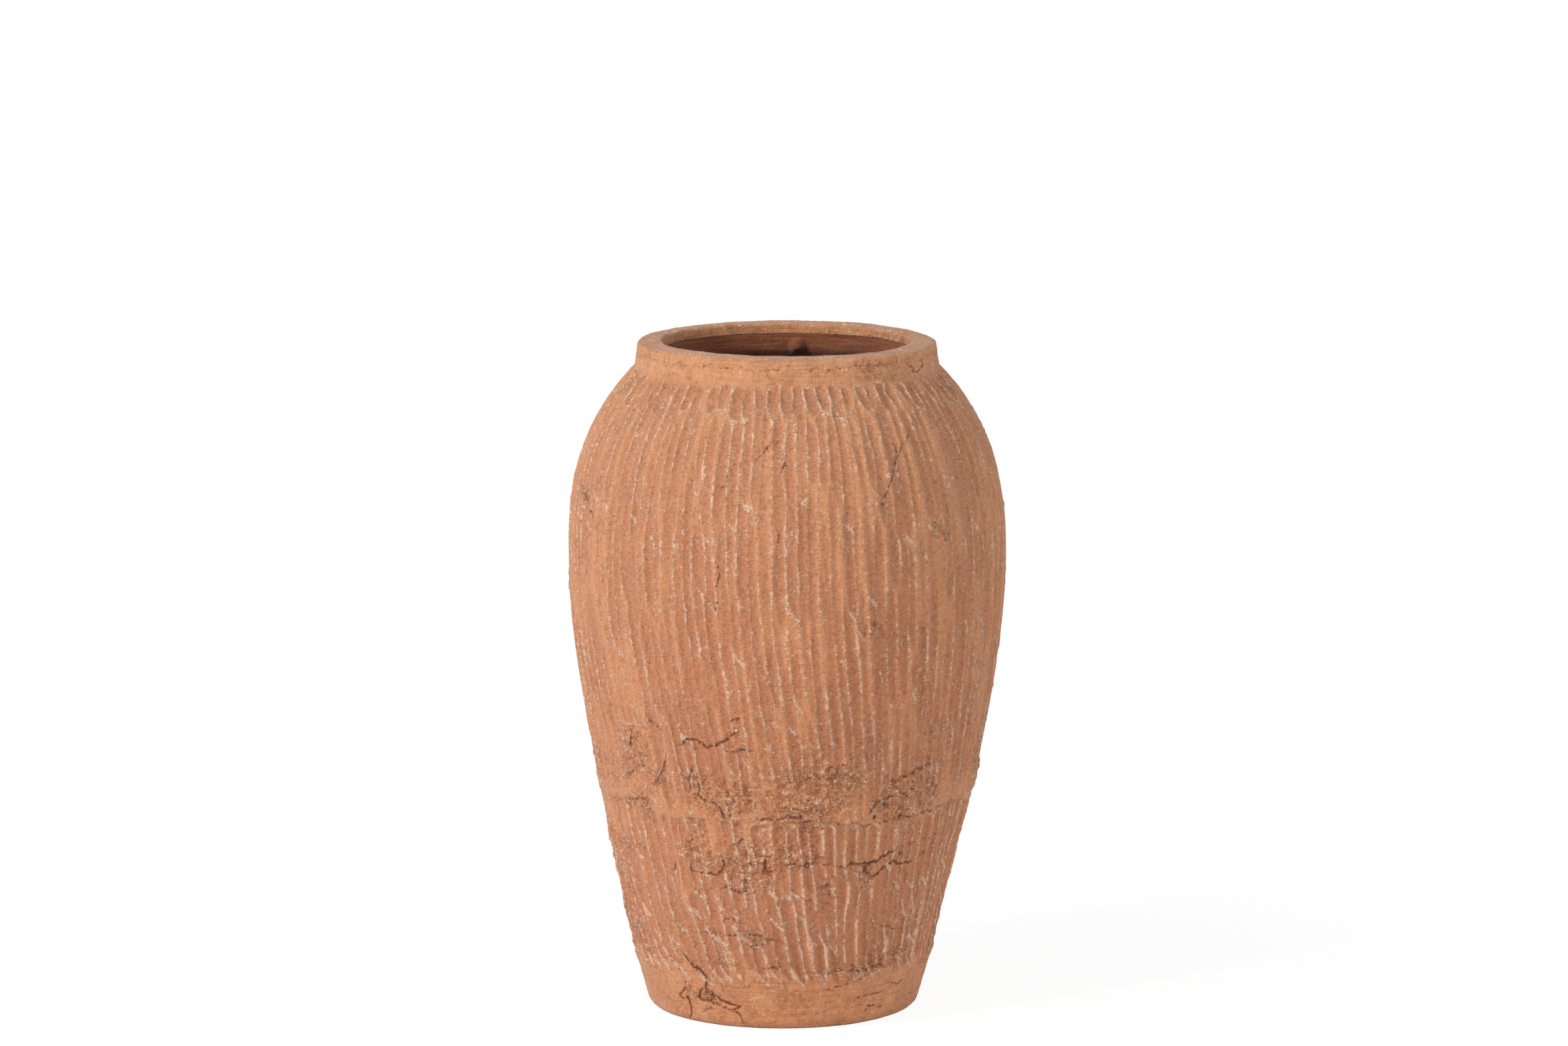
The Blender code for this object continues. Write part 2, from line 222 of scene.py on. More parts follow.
# Strokes of the gouge, in tiers. In millimetres: the heights of the lower and upper ends, how far each end
# wanders and over what length it runs out, the depth of a stroke, and the height of the ridge between two.
# count is how many strokes stand round the wall, and slant how much lower one ends on its right than on its
# left, as a slope.
Tier = namedtuple("Tier", "low low_wander low_run high high_wander high_run count depth crest slant")
TIERS = (
    Tier(32, 3, 4, 74, 9, 6, 74, 1.95, 1.65, 1.4),
    Tier(55, 11, 5, 97, 9, 6, 84, 1.70, 1.50, 1.3),
    Tier(84, 9, 6, 121.4, 1.2, 3, 92, 1.70, 1.50, 1.1),
    Tier(125, 6, 12, 195, 22, 26, 116, 1.30, 1.25, 0.9),
    Tier(165, 24, 6, 252, 26, 26, 120, 1.30, 1.25, 1.6),
    Tier(222, 26, 7, 308, 22, 26, 120, 1.25, 1.20, 1.4),
    Tier(285, 20, 8, 345, 5, 9, 112, 1.25, 1.20, 1.0),
    Tier(341, 3, 6, 355.2, 0.6, 3, 82, 1.70, 1.60, 0.4),
)
NECK_ROW = TIERS[-1].low * MM

# Beyond a stroke's end nothing is cut, and strokes whose depths differ by more than this meet in no ridge
NO_CUT = -9 * MM
RIDGE_REACH = 1.3 * MM

# How single strokes differ: place, lean and bow in pitches, tilt in heights of a ridge, and the others as
# shares of what their tier says
OFFSETS = (-0.26, 0.26)
LEANS = (-0.40, 0.20)
BOWS = (-0.16, 0.16)
TILTS = (-0.35, 0.25)
DEPTHS = (-0.34, 0.34)
RUN_OUTS = (0.6, 1.4)
FULLNESSES = (0.8, 1.3)

# A stroke swells and thins a little along its length, and its floor rises to the ridges by this power
SWELL = 0.12
SWELL_TURNS = 9
RIDGE_POWER = 2.2

# Clay pushed up at the lower ends of most strokes: how high, at how many, how that grows from a start with
# the slant of the ends, and in millimetres how far under the end it lies and how long it is
BURRS = (0.5, 1.2)
BURR_SHARE = 0.80
BURR_START = 0.35
BURR_BY_SLANT = 0.5
BURR_DROP = 0.2
BURR_LENGTH = 1.5

# A slanted end may reach this far under its height
END_REACH = 8 * MM

# All strokes lean a little round the wall, about their middle height and up to where the shoulder closes in
LEAN_MEAN = 0.04
LEAN_SWING = 0.09
LEAN_PHASE = 3.67
LEAN_MIDDLE = 200 * MM
LEAN_TOP = 245 * MM
LEAN_TURN = 12 * MM


class Scoops:
    """The deepest stroke at each place, on which side of a ridge it lies, and the clay left at its end."""

    def __init__(self, shape):
        self.deepest, self.even, self.odd, self.burr = (np.zeros(shape) for _ in range(4))

    def cut(self, rows, depth, is_even, burr):
        """Cuts strokes of a given depth into some rows. is_even says which side of a ridge each is on, and
        burr where it left clay at its end.
        """
        self.burr[rows] = np.maximum(self.burr[rows], burr)
        self.deepest[rows] = np.maximum(self.deepest[rows], depth)
        self.even[rows] = np.maximum(self.even[rows], np.where(is_even, depth, 0))
        self.odd[rows] = np.maximum(self.odd[rows], np.where(is_even, 0, depth))


def cut_tier(scoops, angle, height, sway, tier, seed):
    """Cuts one tier of strokes. sway is a small sideways wander of every stroke, in metres."""
    chance = np.random.default_rng(seed)
    count, crest = tier.count, tier.crest * MM
    offset = chance.uniform(*OFFSETS, count)
    lean = chance.uniform(*LEANS, count)
    bow = chance.uniform(*BOWS, count)
    tilt = chance.uniform(*TILTS, count) * crest
    depth = tier.depth * MM * (1 + chance.uniform(*DEPTHS, count))
    burr_rise = chance.uniform(*BURRS, count) * (chance.random(count) < BURR_SHARE)
    burr_rise = burr_rise * min(1, BURR_START + BURR_BY_SLANT * tier.slant)
    low = tier.low * MM + tier.low_wander * MM * chance.uniform(-1, 1, count)
    high = tier.high * MM + tier.high_wander * MM * chance.uniform(-1, 1, count)
    low_run = tier.low_run * MM * chance.uniform(*RUN_OUTS, count)
    high_run = tier.high_run * MM * chance.uniform(*RUN_OUTS, count)
    fullness = chance.uniform(*FULLNESSES, count)
    wave = chance.uniform(0, math.tau, count)
    rows = np.nonzero((height.max(1) > low.min() - END_REACH) & (height.min(1) < high.max()))[0]
    rows = slice(rows[0], rows[-1] + 1)
    height, angle, sway = height[rows], angle[rows], sway[rows]
    pitch = math.tau * outer_radius(height) / count
    general_lean = LEAN_MEAN + LEAN_SWING * np.sin(angle + LEAN_PHASE)
    leaning = height - LEAN_TURN * np.logaddexp(0, (height - LEAN_TOP) / LEAN_TURN)
    turned = general_lean * (leaning - LEAN_MIDDLE) / outer_radius(leaning)
    place = (angle + turned) / math.tau * count + sway / pitch
    first = np.floor(place)
    for step in (-1, 0, 1, 2):
        number = (first + step).astype(int)
        k = number % count
        along = (height - low[k]) / (high[k] - low[k])
        centre = number + offset[k] + lean[k] * (along - 0.5) + bow[k] * (4 * along * (1 - along) - 0.5)
        across = place - centre
        above_end = height - low[k] + tier.slant * across * pitch
        to_end = np.minimum(above_end / low_run[k], (high[k] - height) / high_run[k])
        run_out = np.sqrt(np.clip(to_end, 0, 1))
        swell = 1 + SWELL * np.sin(wave[k] + SWELL_TURNS * along)
        rise = crest * fullness[k] * np.abs(2 * across) ** RIDGE_POWER
        hollow = depth[k] * run_out * swell - rise + tilt[k] * across
        burr = np.exp(-((above_end / MM + BURR_DROP) / BURR_LENGTH) ** 2)
        burr = burr * smoothstep(np.abs(across), 0.5, 0.3)
        scoops.cut(rows, np.where(to_end > 0, hollow, NO_CUT), number % 2 == 0, burr_rise[k] * burr)


def all_scoops(angle, height, sway):
    scoops = Scoops(height.shape)
    for seed, tier in enumerate(TIERS):
        cut_tier(scoops, angle, height, sway, tier, seed)
    return scoops


def onto_ridges(angle, scoops):
    """The angles of the columns. Where a ridge passes between two, the nearer one is moved onto it."""
    side = scoops.even - scoops.odd
    after = np.roll(side, -1, 1)
    step = math.tau / COLUMNS
    crosses = (side * after < 0) & (np.maximum(np.abs(side), np.abs(after)) < RIDGE_REACH)
    share = np.where(crosses, side / np.where(crosses, side - after, 1), 0)
    here = crosses & (share < 0.5)
    there = np.roll(crosses & (share >= 0.5), 1, 1)
    moved = np.where(here, share * step, 0)
    return angle + np.where(there & ~here, -np.roll((1 - share) * step, 1, 1), moved)


# A ray from the camera is followed from before the front of the wall to the axis, or from there to behind
# the inside of the far wall, in so many steps
FRONT_START = 0.125
BACK_END = 0.1
RAY_STEPS = 500


def pixel_rays(pixels):
    """The camera's place, and the ways in which it sees some pixels of the photograph."""
    pixels = np.asarray(pixels, float)
    wide, high = PHOTO_SIZE
    across = (pixels[:, 0] - wide / 2) / wide * SENSOR / LENS
    up = (high / 2 - pixels[:, 1]) / wide * SENSOR / LENS
    tilt = CAMERA_PITCH - math.pi / 2
    way = np.stack([across, math.cos(tilt) - up * math.sin(tilt), math.sin(tilt) + up * math.cos(tilt)], 1)
    return np.array(CAMERA_PLACE), way


def on_wall(pixels):
    """Places on the wall that the photograph shows at these pixels."""
    start, way = pixel_rays(pixels)
    reach = np.linspace(-FRONT_START - start[1], -start[1], RAY_STEPS)[:, None]
    places = start + way[None] * (reach / way[:, 1])[..., None]
    beyond = np.hypot(places[..., 0] - side_shift(places[..., 2]), places[..., 1])
    beyond = beyond - outer_radius(np.clip(places[..., 2], 0, TOP))
    first = np.argmax(beyond < 0, 0)
    return places[first, np.arange(len(first))]


# Cracks that the photograph shows: widest half-width in millimetres, and pixels that they pass
CRACKS = (
    # The foot, and just above it
    (0.90, (1019, 1418), (1024, 1430), (1032, 1439), (1038, 1447), (1047, 1453), (1053, 1460), (1061, 1468),
     (1060, 1476), (1059, 1485), (1066, 1492), (1078, 1497), (1089, 1502), (1101, 1506), (1110, 1508),
     (1103, 1515), (1110, 1522), (1114, 1531), (1120, 1538)),
    (0.70, (1028, 1472), (1030, 1481), (1022, 1487), (1019, 1491), (1024, 1497), (1032, 1495), (1034, 1502),
     (1037, 1510), (1037, 1518), (1034, 1526)),
    (0.70, (1060, 1478), (1050, 1487), (1048, 1495), (1053, 1501), (1065, 1503), (1072, 1507), (1080, 1507),
     (1091, 1512), (1101, 1516)),
    (0.40, (1053, 1518), (1059, 1512), (1066, 1510)),
    (0.45, (1318, 1478), (1332, 1472), (1344, 1474), (1356, 1466)),
    (0.45, (1031, 1397), (1060, 1399), (1092, 1403), (1120, 1403), (1140, 1405), (1160, 1411), (1177, 1415)),
    # Over the strong seam at the left
    (0.85, (1010, 1120), (1023, 1117), (1028, 1109), (1040, 1110), (1050, 1115), (1058, 1122), (1075, 1117),
     (1085, 1112), (1096, 1104), (1103, 1097)),
    (0.58, (1083, 1125), (1093, 1128), (1112, 1125), (1142, 1126)),
    (0.65, (945, 1088), (947, 1098), (946, 1112), (945, 1122)),
    (0.55, (998, 1128), (996, 1139), (996, 1147), (991, 1157), (986, 1166), (981, 1174)),
    (0.60, (1037, 1149), (1035, 1160), (1031, 1168), (1033, 1178), (1031, 1190)),
    (0.55, (965, 1081), (976, 1084), (984, 1090), (992, 1095)),
    (0.55, (941, 1164), (946, 1158), (953, 1154)),
    (0.60, (1094, 1083), (1103, 1078), (1112, 1073)),
    # The lower and middle walls
    (0.90, (1253, 1299), (1261, 1303), (1279, 1296), (1304, 1295), (1322, 1288), (1339, 1276), (1352, 1269)),
    (0.40, (1352, 1269), (1372, 1262), (1393, 1256), (1408, 1248)),
    (0.75, (1293, 1304), (1309, 1315), (1319, 1306), (1339, 1292), (1352, 1295), (1368, 1292), (1382, 1282),
     (1390, 1276)),
    (0.40, (1290, 1333), (1297, 1329), (1304, 1322)),
    (0.75, (1303, 1221), (1311, 1209), (1320, 1201), (1333, 1196), (1346, 1190)),
    (0.32, (1163, 1302), (1180, 1297), (1191, 1296), (1207, 1301), (1210, 1297), (1218, 1296), (1237, 1297),
     (1249, 1297), (1256, 1301), (1266, 1297)),
    (0.60, (1034, 1297), (1035, 1306), (1041, 1308), (1054, 1309), (1061, 1308), (1069, 1313), (1075, 1311),
     (1082, 1306), (1086, 1296), (1096, 1295), (1099, 1293)),
    (0.40, (1086, 1296), (1081, 1287), (1079, 1282)),
    (0.50, (1035, 1328), (1046, 1333), (1055, 1335), (1063, 1334), (1071, 1331)),
    (0.45, (1084, 1332), (1092, 1332), (1099, 1336), (1110, 1340), (1120, 1337)),
    (0.45, (1010, 1290), (1011, 1296), (1009, 1304), (1002, 1309)),
    (0.75, (1147, 1290), (1147, 1301), (1143, 1306), (1142, 1313)),
    (0.45, (1144, 1308), (1153, 1308), (1163, 1306)),
    (0.45, (1115, 1318), (1119, 1323), (1122, 1327)),
    (0.45, (1120, 1277), (1124, 1274), (1130, 1272)),
    (0.40, (1099, 1267), (1107, 1264), (1113, 1259), (1114, 1253)),
    (0.40, (1181, 1334), (1188, 1336), (1194, 1343)),
    (0.45, (1203, 1347), (1210, 1351), (1218, 1352)),
    (0.45, (1231, 1329), (1238, 1329), (1242, 1327), (1242, 1335), (1245, 1343)),
    (0.40, (1236, 1357), (1244, 1358), (1251, 1364), (1254, 1365), (1255, 1359)),
    (0.45, (1084, 1381), (1094, 1379), (1105, 1383)),
    (0.40, (1126, 1419), (1134, 1420), (1142, 1419)),
    (0.45, (1323, 1388), (1337, 1391), (1350, 1393), (1361, 1390), (1372, 1388), (1384, 1387)),
    # The belly, the shoulder and the collar
    (0.40, (1172, 678), (1176, 696), (1170, 707)),
    (0.45, (1176, 696), (1183, 701)),
    (0.40, (1091, 712), (1089, 725), (1082, 731), (1075, 735)),
    (0.32, (1077, 831), (1075, 848), (1078, 862), (1073, 880), (1075, 900), (1072, 920)),
    (0.40, (1170, 798), (1168, 806), (1167, 813)),
    (0.45, (871, 725), (876, 741), (885, 764), (890, 785)),
    (0.40, (1345, 665), (1347, 680), (1342, 701)),
    (0.30, (1374, 622), (1368, 640), (1362, 655), (1352, 668), (1346, 690), (1340, 708), (1334, 726),
     (1330, 741), (1322, 758), (1318, 775), (1312, 800)),
    (0.28, (1132, 690), (1144, 678), (1152, 668), (1165, 662), (1176, 655)),
    (0.40, (1412, 795), (1420, 806), (1414, 818)),
    (0.26, (1358, 541), (1364, 548), (1371, 552), (1368, 559), (1377, 556), (1384, 548), (1381, 536)),
    # The foot at the right
    (0.45, (1268, 1497), (1290, 1494), (1310, 1490), (1326, 1487)),
    (0.45, (1196, 1462), (1215, 1458), (1236, 1460), (1262, 1454), (1290, 1456), (1316, 1448), (1338, 1450)),
    (0.40, (1222, 1490), (1242, 1482), (1262, 1478), (1284, 1470), (1300, 1462)),
    (0.45, (1296, 1517), (1302, 1509), (1312, 1506), (1322, 1510)),
    # Torn clay over the strong seam
    (0.45, (1350, 1170), (1362, 1163), (1378, 1152), (1392, 1146), (1402, 1142)),
    (0.50, (1347, 1186), (1356, 1192), (1364, 1181), (1374, 1186), (1384, 1180)),
    (0.55, (1330, 1234), (1340, 1228), (1350, 1223), (1364, 1225), (1380, 1217), (1395, 1215), (1408, 1208),
     (1420, 1202), (1428, 1195)),
    (0.45, (1197, 1178), (1206, 1171), (1222, 1164), (1232, 1171), (1244, 1170), (1256, 1158), (1258, 1151),
     (1247, 1150), (1238, 1156), (1231, 1166)),
    (0.28, (1263, 1147), (1277, 1141), (1290, 1138), (1306, 1133), (1320, 1131)),
    (0.60, (1040, 1166), (1046, 1178), (1047, 1192), (1058, 1200), (1070, 1204), (1080, 1214), (1086, 1226),
     (1093, 1229), (1096, 1222)),
    (0.40, (937, 1195), (948, 1198), (957, 1196), (971, 1199)),
    (0.55, (1123, 1232), (1138, 1230), (1150, 1227), (1156, 1230), (1163, 1232), (1172, 1228), (1183, 1222),
     (1193, 1224), (1200, 1224), (1205, 1231), (1216, 1229), (1226, 1234)),
    (0.28, (1226, 1234), (1245, 1232), (1262, 1236), (1280, 1233), (1296, 1237), (1312, 1233), (1330, 1234)),
)

# How deep cracks are, how much narrower than traced, and how far and at what size their course is roughened
CRACK_DEPTH = 0.6 * MM
CRACK_NARROWING = 0.72
CRACK_JITTER = 0.9 * MM
CRACK_JITTER_SIZE = 3.2

# A crack tapers to its ends with this slope and power, though never below the least share of its width
TAPER_SLOPE = 4.5
TAPER_LEAST = 0.12
TAPER_POWER = 0.6

# Beyond this distance in millimetres a crack doesn't count, and a chip deeper than this gets a crack's
# painted shade
FAR = 4.0
CHIP_SHOWS = 0.3 * MM

# Bits that have broken out of the clay, and small holes: the pixel of the middle, and the radius and the
# depth in millimetres
CHIPS = (
    ((1065, 1497), 5.5, 1.0), ((914, 1058), 1.6, 1.6), ((971, 560), 0.7, 1.0), ((1312, 1226), 1.4, 1.6),
    ((1349, 1224), 1.4, 1.6), ((1352, 1281), 1.3, 1.5), ((1327, 1232), 1.2, 1.3), ((1212, 1202), 1.0, 1.2),
    ((1330, 1368), 1.0, 1.2), ((1330, 1207), 2.4, 1.0), ((1300, 1306), 3.0, 1.0), ((1434, 1200), 0.9, 1.2),
    ((1000, 505), 1.2, 0.5), ((1398, 1176), 1.1, 1.3), ((1348, 1167), 1.1, 1.3), ((1360, 1194), 1.1, 1.3),
    ((977, 1234), 1.3, 1.3),
)

# Torn patches that the photograph shows: the pixel of the middle, the radius in millimetres, and how torn
TORN = (
    ((1041, 1276), 11, 0.60), ((1185, 1220), 17, 0.35), ((1340, 1208), 15, 0.90), ((1303, 1308), 10, 0.70),
    ((1240, 1156), 8, 0.55), ((963, 1214), 11, 0.50), ((952, 1120), 17, 0.45), ((1057, 1193), 14, 0.50),
    ((1240, 1334), 8, 0.50), ((1303, 1444), 13, 0.55), ((1172, 1412), 10, 0.35), ((989, 764), 19, 0.45),
    ((1146, 665), 8, 0.30), ((1408, 796), 10, 0.65), ((874, 733), 9, 0.50), ((1245, 911), 8, 0.45),
    ((1313, 947), 8, 0.55), ((1005, 895), 13, 0.45), ((1392, 1188), 12, 0.60), ((1285, 1482), 16, 0.40),
    ((1038, 1484), 8, 0.50), ((1110, 1205), 13, 0.60), ((1140, 1408), 9, 0.50), ((1222, 1428), 11, 0.55),
    ((1345, 1430), 12, 0.55), ((1260, 1448), 8, 0.50), ((1180, 1442), 8, 0.50), ((1065, 1490), 9, 0.55),
    ((1312, 1510), 7, 0.50), ((1100, 1110), 10, 0.50), ((1368, 1172), 11, 0.55), ((1075, 1212), 8, 0.50),
    ((1049, 1240), 8, 0.50),
)

# Cracks, chips and torn patches on the sides that the photograph doesn't show
HIDDEN_CRACKS = 46
HIDDEN_CHIPS = 9
HIDDEN_TORN = 22
HIDDEN_CRACK_WIDTHS = (0.3, 0.8)

# A crack runs in short steps, each thrown a little aside
CRACK_STEP = 1.5 * MM
CRACK_STRAY = 0.22 * MM

# Where hidden cracks lie: angles in half turns from the right, and heights in millimetres. Most lie low. The
# share of upright ones is smaller there than higher up. Each has some steps, and its heading strays a little.
HIDDEN_ANGLES = (-0.05, 1.05)
LOW_SHARE = 0.72
LOW_HEIGHTS = (30, 165)
HIGH_HEIGHTS = (165, 335)
LOWEST = 6 * MM
LOW_UPRIGHT = 0.35
HIGH_UPRIGHT = 0.8
WANDER_STEPS = (3, 14)
WANDER_STEP = 3.5 * MM
FIRST_STRAY = 0.35
STEP_STRAY = 0.5


def ragged(places, seed):
    """A line of places with short steps between them, each thrown a little aside."""
    chance = np.random.default_rng(seed)
    line = [places[0]]
    for a, b in zip(places, places[1:]):
        steps = max(1, round(float(np.linalg.norm(b - a)) / CRACK_STEP))
        line.extend(blend(a, b, i / steps) for i in range(1, steps + 1))
    line = np.array(line)
    line[1:-1] += chance.normal(0, CRACK_STRAY, line[1:-1].shape)
    return line


def wander(chance):
    """A crack on an unseen side: a line that roughly keeps its heading, level or upright."""
    low = chance.random() < LOW_SHARE
    height = chance.uniform(*(LOW_HEIGHTS if low else HIGH_HEIGHTS)) * MM
    angle = chance.uniform(*HIDDEN_ANGLES) * math.pi
    upright = chance.random() < (LOW_UPRIGHT if low else HIGH_UPRIGHT)
    heading = math.radians(90 if upright else 0) + chance.normal(0, FIRST_STRAY)
    heading += math.pi * chance.integers(0, 2)
    places = []
    for _ in range(int(chance.integers(*WANDER_STEPS))):
        radius = float(outer_radius(height))
        x = radius * math.cos(angle) + float(side_shift(height))
        places.append((x, radius * math.sin(angle), height))
        heading += chance.normal(0, STEP_STRAY)
        angle += WANDER_STEP * math.cos(heading) / radius
        height = min(max(height + WANDER_STEP * math.sin(heading), LOWEST), NECK_SEAM)
    return np.array(places)


def crack_lines():
    """Every crack as its line of places on the wall and its widest half-width in millimetres."""
    lines = [(ragged(on_wall(pixels), i), width) for i, (width, *pixels) in enumerate(CRACKS)]
    chance = np.random.default_rng(5)
    for i in range(HIDDEN_CRACKS):
        lines.append((ragged(wander(chance), 100 + i), chance.uniform(*HIDDEN_CRACK_WIDTHS)))
    return lines


def crack_field(places):
    """Distance in millimetres from each place to the edge of the nearest crack, below 0 inside one."""
    flat = places.reshape(-1, 3)
    jitter = np.stack([noise(flat, CRACK_JITTER_SIZE, 31 + i, 3) for i in range(3)], 1) * CRACK_JITTER
    moved = flat + jitter
    field = np.full(len(flat), FAR)
    for line, half_width in crack_lines():
        low, high = line.min(0) - FAR * MM, line.max(0) + FAR * MM
        near = np.nonzero(((moved > low) & (moved < high)).all(1))[0]
        if not len(near):
            continue
        start, way = line[:-1], np.diff(line, axis=0)
        offset = moved[near][:, None] - start
        along = np.clip((offset * way).sum(2) / (way * way).sum(1), 0, 1)
        distance = np.linalg.norm(offset - along[..., None] * way, axis=2)
        total = (np.arange(len(way)) + along) / len(way)
        taper = np.clip(TAPER_SLOPE * total * (1 - total), TAPER_LEAST, 1) ** TAPER_POWER
        width = CRACK_NARROWING * half_width * taper
        field[near] = np.minimum(field[near], (distance / MM - width).min(1))
    return field.reshape(places.shape[:-1])


def spots(places, drawn, hidden, radii, amounts, seed, edge, outer, core):
    """How strongly drawn spots and some hidden ones show at each place. A spot fades from its core to its
    outer edge, which are shares of its radius, and edge makes it ragged. A hidden one gets a radius and an
    amount between the limits that are given.
    """
    chance = np.random.default_rng(seed)
    found = [(on_wall([pixel])[0], radius, amount) for pixel, radius, amount in drawn]
    for _ in range(hidden):
        found.append((wander(chance)[0], chance.uniform(*radii), chance.uniform(*amounts)))
    share = np.zeros(places.shape[:-1])
    for middle, radius, amount in found:
        distance = np.linalg.norm(places - middle, axis=-1) / (radius * MM) + edge
        share = np.maximum(share, amount * smoothstep(distance, outer, core))
    return share


def chip_depth(places):
    """How deep the chips are at each place."""
    edge = 0.45 * noise(places, 3, 41, 2)
    return MM * spots(places, CHIPS, HIDDEN_CHIPS, radii=(1, 4), amounts=(0.6, 1.4), seed=9,
                      edge=edge, outer=1.1, core=0.55)


def torn_share(places):
    """How much the torn patches add to the roughness at each place."""
    edge = 0.35 * noise(places, 9, 42, 2)
    return spots(places, TORN, HIDDEN_TORN, radii=(7, 17), amounts=(0.3, 0.7), seed=11,
                 edge=edge, outer=1.25, core=0.35)


# Pixels that the strong seam passes, and the angle over which it goes back to its level on either side
STRONG_SEAM_PIXELS = (
    (937, 1198), (962, 1208), (1000, 1219), (1040, 1226), (1090, 1231), (1150, 1233), (1210, 1232),
    (1262, 1234), (1300, 1236), (1350, 1228), (1381, 1220), (1408, 1213), (1424, 1196))
SEAM_RETURN = 0.5

# Lumps in the wander of the seams, in thousandths of the radius, and steps in which the outline is measured
WAVE_SIZE = 550
OUTLINE_STEPS = 400


def strong_seam(angle):
    """How far the strong seam lies above its level at each angle."""
    seen = on_wall(STRONG_SEAM_PIXELS)
    turn = np.arctan2(seen[:, 1], seen[:, 0] - side_shift(seen[:, 2]))
    stray = seen[:, 2] - MIDDLE_SEAM
    turn = np.concatenate([[turn[0] - SEAM_RETURN], turn, [turn[-1] + SEAM_RETURN]])
    stray = np.concatenate([[0.0], stray, [0.0]])
    back = np.mod(angle + math.pi / 2 + math.pi, math.tau) - math.pi - math.pi / 2
    return np.interp(back, turn, stray)


def seam_wave(angle, amount, seed):
    """A slow wander of a seam, in metres."""
    turn = np.stack([np.cos(angle), np.sin(angle), np.zeros_like(angle)], -1)
    return amount * noise(turn, WAVE_SIZE, seed, 3)


def arc_heights(low, high, rows):
    """Heights from low to high, evenly spaced along the outline."""
    fine = np.linspace(low, high, OUTLINE_STEPS)
    steps = np.hypot(np.diff(fine), np.diff(outer_radius(fine)))
    length = np.concatenate([[0], np.cumsum(steps)])
    return np.interp(np.linspace(0, length[-1], rows + 1), length, fine)


def quarter(width, height, rows):
    """A quarter turn of an edge, from its upright end: how far in from the side, and from the flat."""
    turn = np.linspace(math.pi / 2, 0, rows + 1)
    return width * (1 - np.sin(turn)), height * (1 - np.cos(turn))


# How far each seam wanders, and the seed of its wander
WAVES = {
    FLOOR_SEAM: (0.6 * MM, 51),
    FOOT_SEAM: (2.4 * MM, 52),
    LOWER_SEAM: (2.6 * MM, 53),
    MIDDLE_SEAM: (0.9 * MM, 54),
    RISING_SEAM: (3.0 * MM, 55),
    BELLY_SEAM: (2.0 * MM, 56),
    SHOULDER_SEAM: (2.0 * MM, 57),
    NECK_SEAM: (0.5 * MM, 58),
    LIP_SEAM: (0.35 * MM, 59),
}


def seam_height(seam, angle):
    """Height of a seam at each angle: its level in the CAD, with the wander of the hand."""
    wave = seam_wave(angle, *WAVES[seam])
    if seam == MIDDLE_SEAM:
        wave = wave + strong_seam(angle)
    return seam + wave


class Grid:
    """Radius and height of every row of the skin, and the rows of each course."""

    def __init__(self):
        self.radius, self.height, self.courses = [], [], {}

    def add(self, name, radius, height):
        """Adds the rows of a course. Its first row is the last one of the course before."""
        shared = 1 if self.height else 0
        last = len(self.height)
        self.radius.extend(radius[shared:])
        self.height.extend(height[shared:])
        self.courses[name] = slice(last - shared, len(self.height))

    def close(self):
        self.radius, self.height = np.array(self.radius), np.array(self.height)
        return self


def add_slab_side(grid, angle):
    """The rounded bottom edge and the low side of the floor slab."""
    inwards, up = quarter(*BASE_EDGE, EDGE_ROWS)
    side = np.linspace(BASE_EDGE[1], FLOOR_SEAM, SLAB_ROWS + 1)[1:]
    level = np.concatenate([up[::-1], side])[:, None]
    cut_back = np.concatenate([inwards[::-1], 0 * side])[:, None]
    share = np.clip((level - BASE_EDGE[1]) / (FLOOR_SEAM - BASE_EDGE[1]), 0, 1)
    height = level + (seam_height(FLOOR_SEAM, angle) - FLOOR_SEAM) * share
    grid.add("floor_slab", outer_radius(height) - cut_back, height)


def add_lip(grid, angle):
    """The lip: its side, the wide soft edge, the flat top, and the small edge at the mouth."""
    inwards, down = quarter(*LIP_EDGE, EDGE_ROWS)
    out, drop = quarter(*MOUTH_EDGE, MOUTH_ROWS)
    side = np.linspace(LIP_SEAM, TOP - LIP_EDGE[1], LIP_SIDE_ROWS + 1)[:-1]
    flat = np.linspace(LIP_RADIUS - LIP_EDGE[0], MOUTH_RADIUS + MOUTH_EDGE[0], LIP_TOP_ROWS + 1)[1:-1]
    inside = np.linspace(TOP - MOUTH_EDGE[1], LIP_SEAM, MOUTH_ROWS + 1)[1:]
    edge = outer_radius(TOP - down) - inwards
    radius = [outer_radius(side), edge, flat, (MOUTH_RADIUS + out)[::-1], 0 * inside + MOUTH_RADIUS]
    level = [side, TOP - down, 0 * flat + TOP, (TOP - drop)[::-1], inside]
    stray = [(TOP - side) / (TOP - LIP_SEAM), 0 * down, 0 * flat, 0 * drop, 0 * inside]
    radius, level, stray = (np.concatenate(part)[:, None] for part in (radius, level, stray))
    height = level + (seam_height(LIP_SEAM, angle) - LIP_SEAM) * stray ** 3
    grid.add("lip_coil", radius + 0 * angle, height)


def outer_grid(angle):
    """Rows up the outside from the underside, over the lip and down to the joint inside the mouth."""
    grid = Grid()
    add_slab_side(grid, angle)
    for name, (low, high, rows, _) in COURSES.items():
        share = np.linspace(0, 1, rows + 1)[:, None]
        stray = blend(seam_height(low, angle) - low, seam_height(high, angle) - high, share)
        height = arc_heights(low, high, rows)[:, None] + stray
        grid.add(name, outer_radius(height), height)
    add_lip(grid, angle)
    return grid.close()


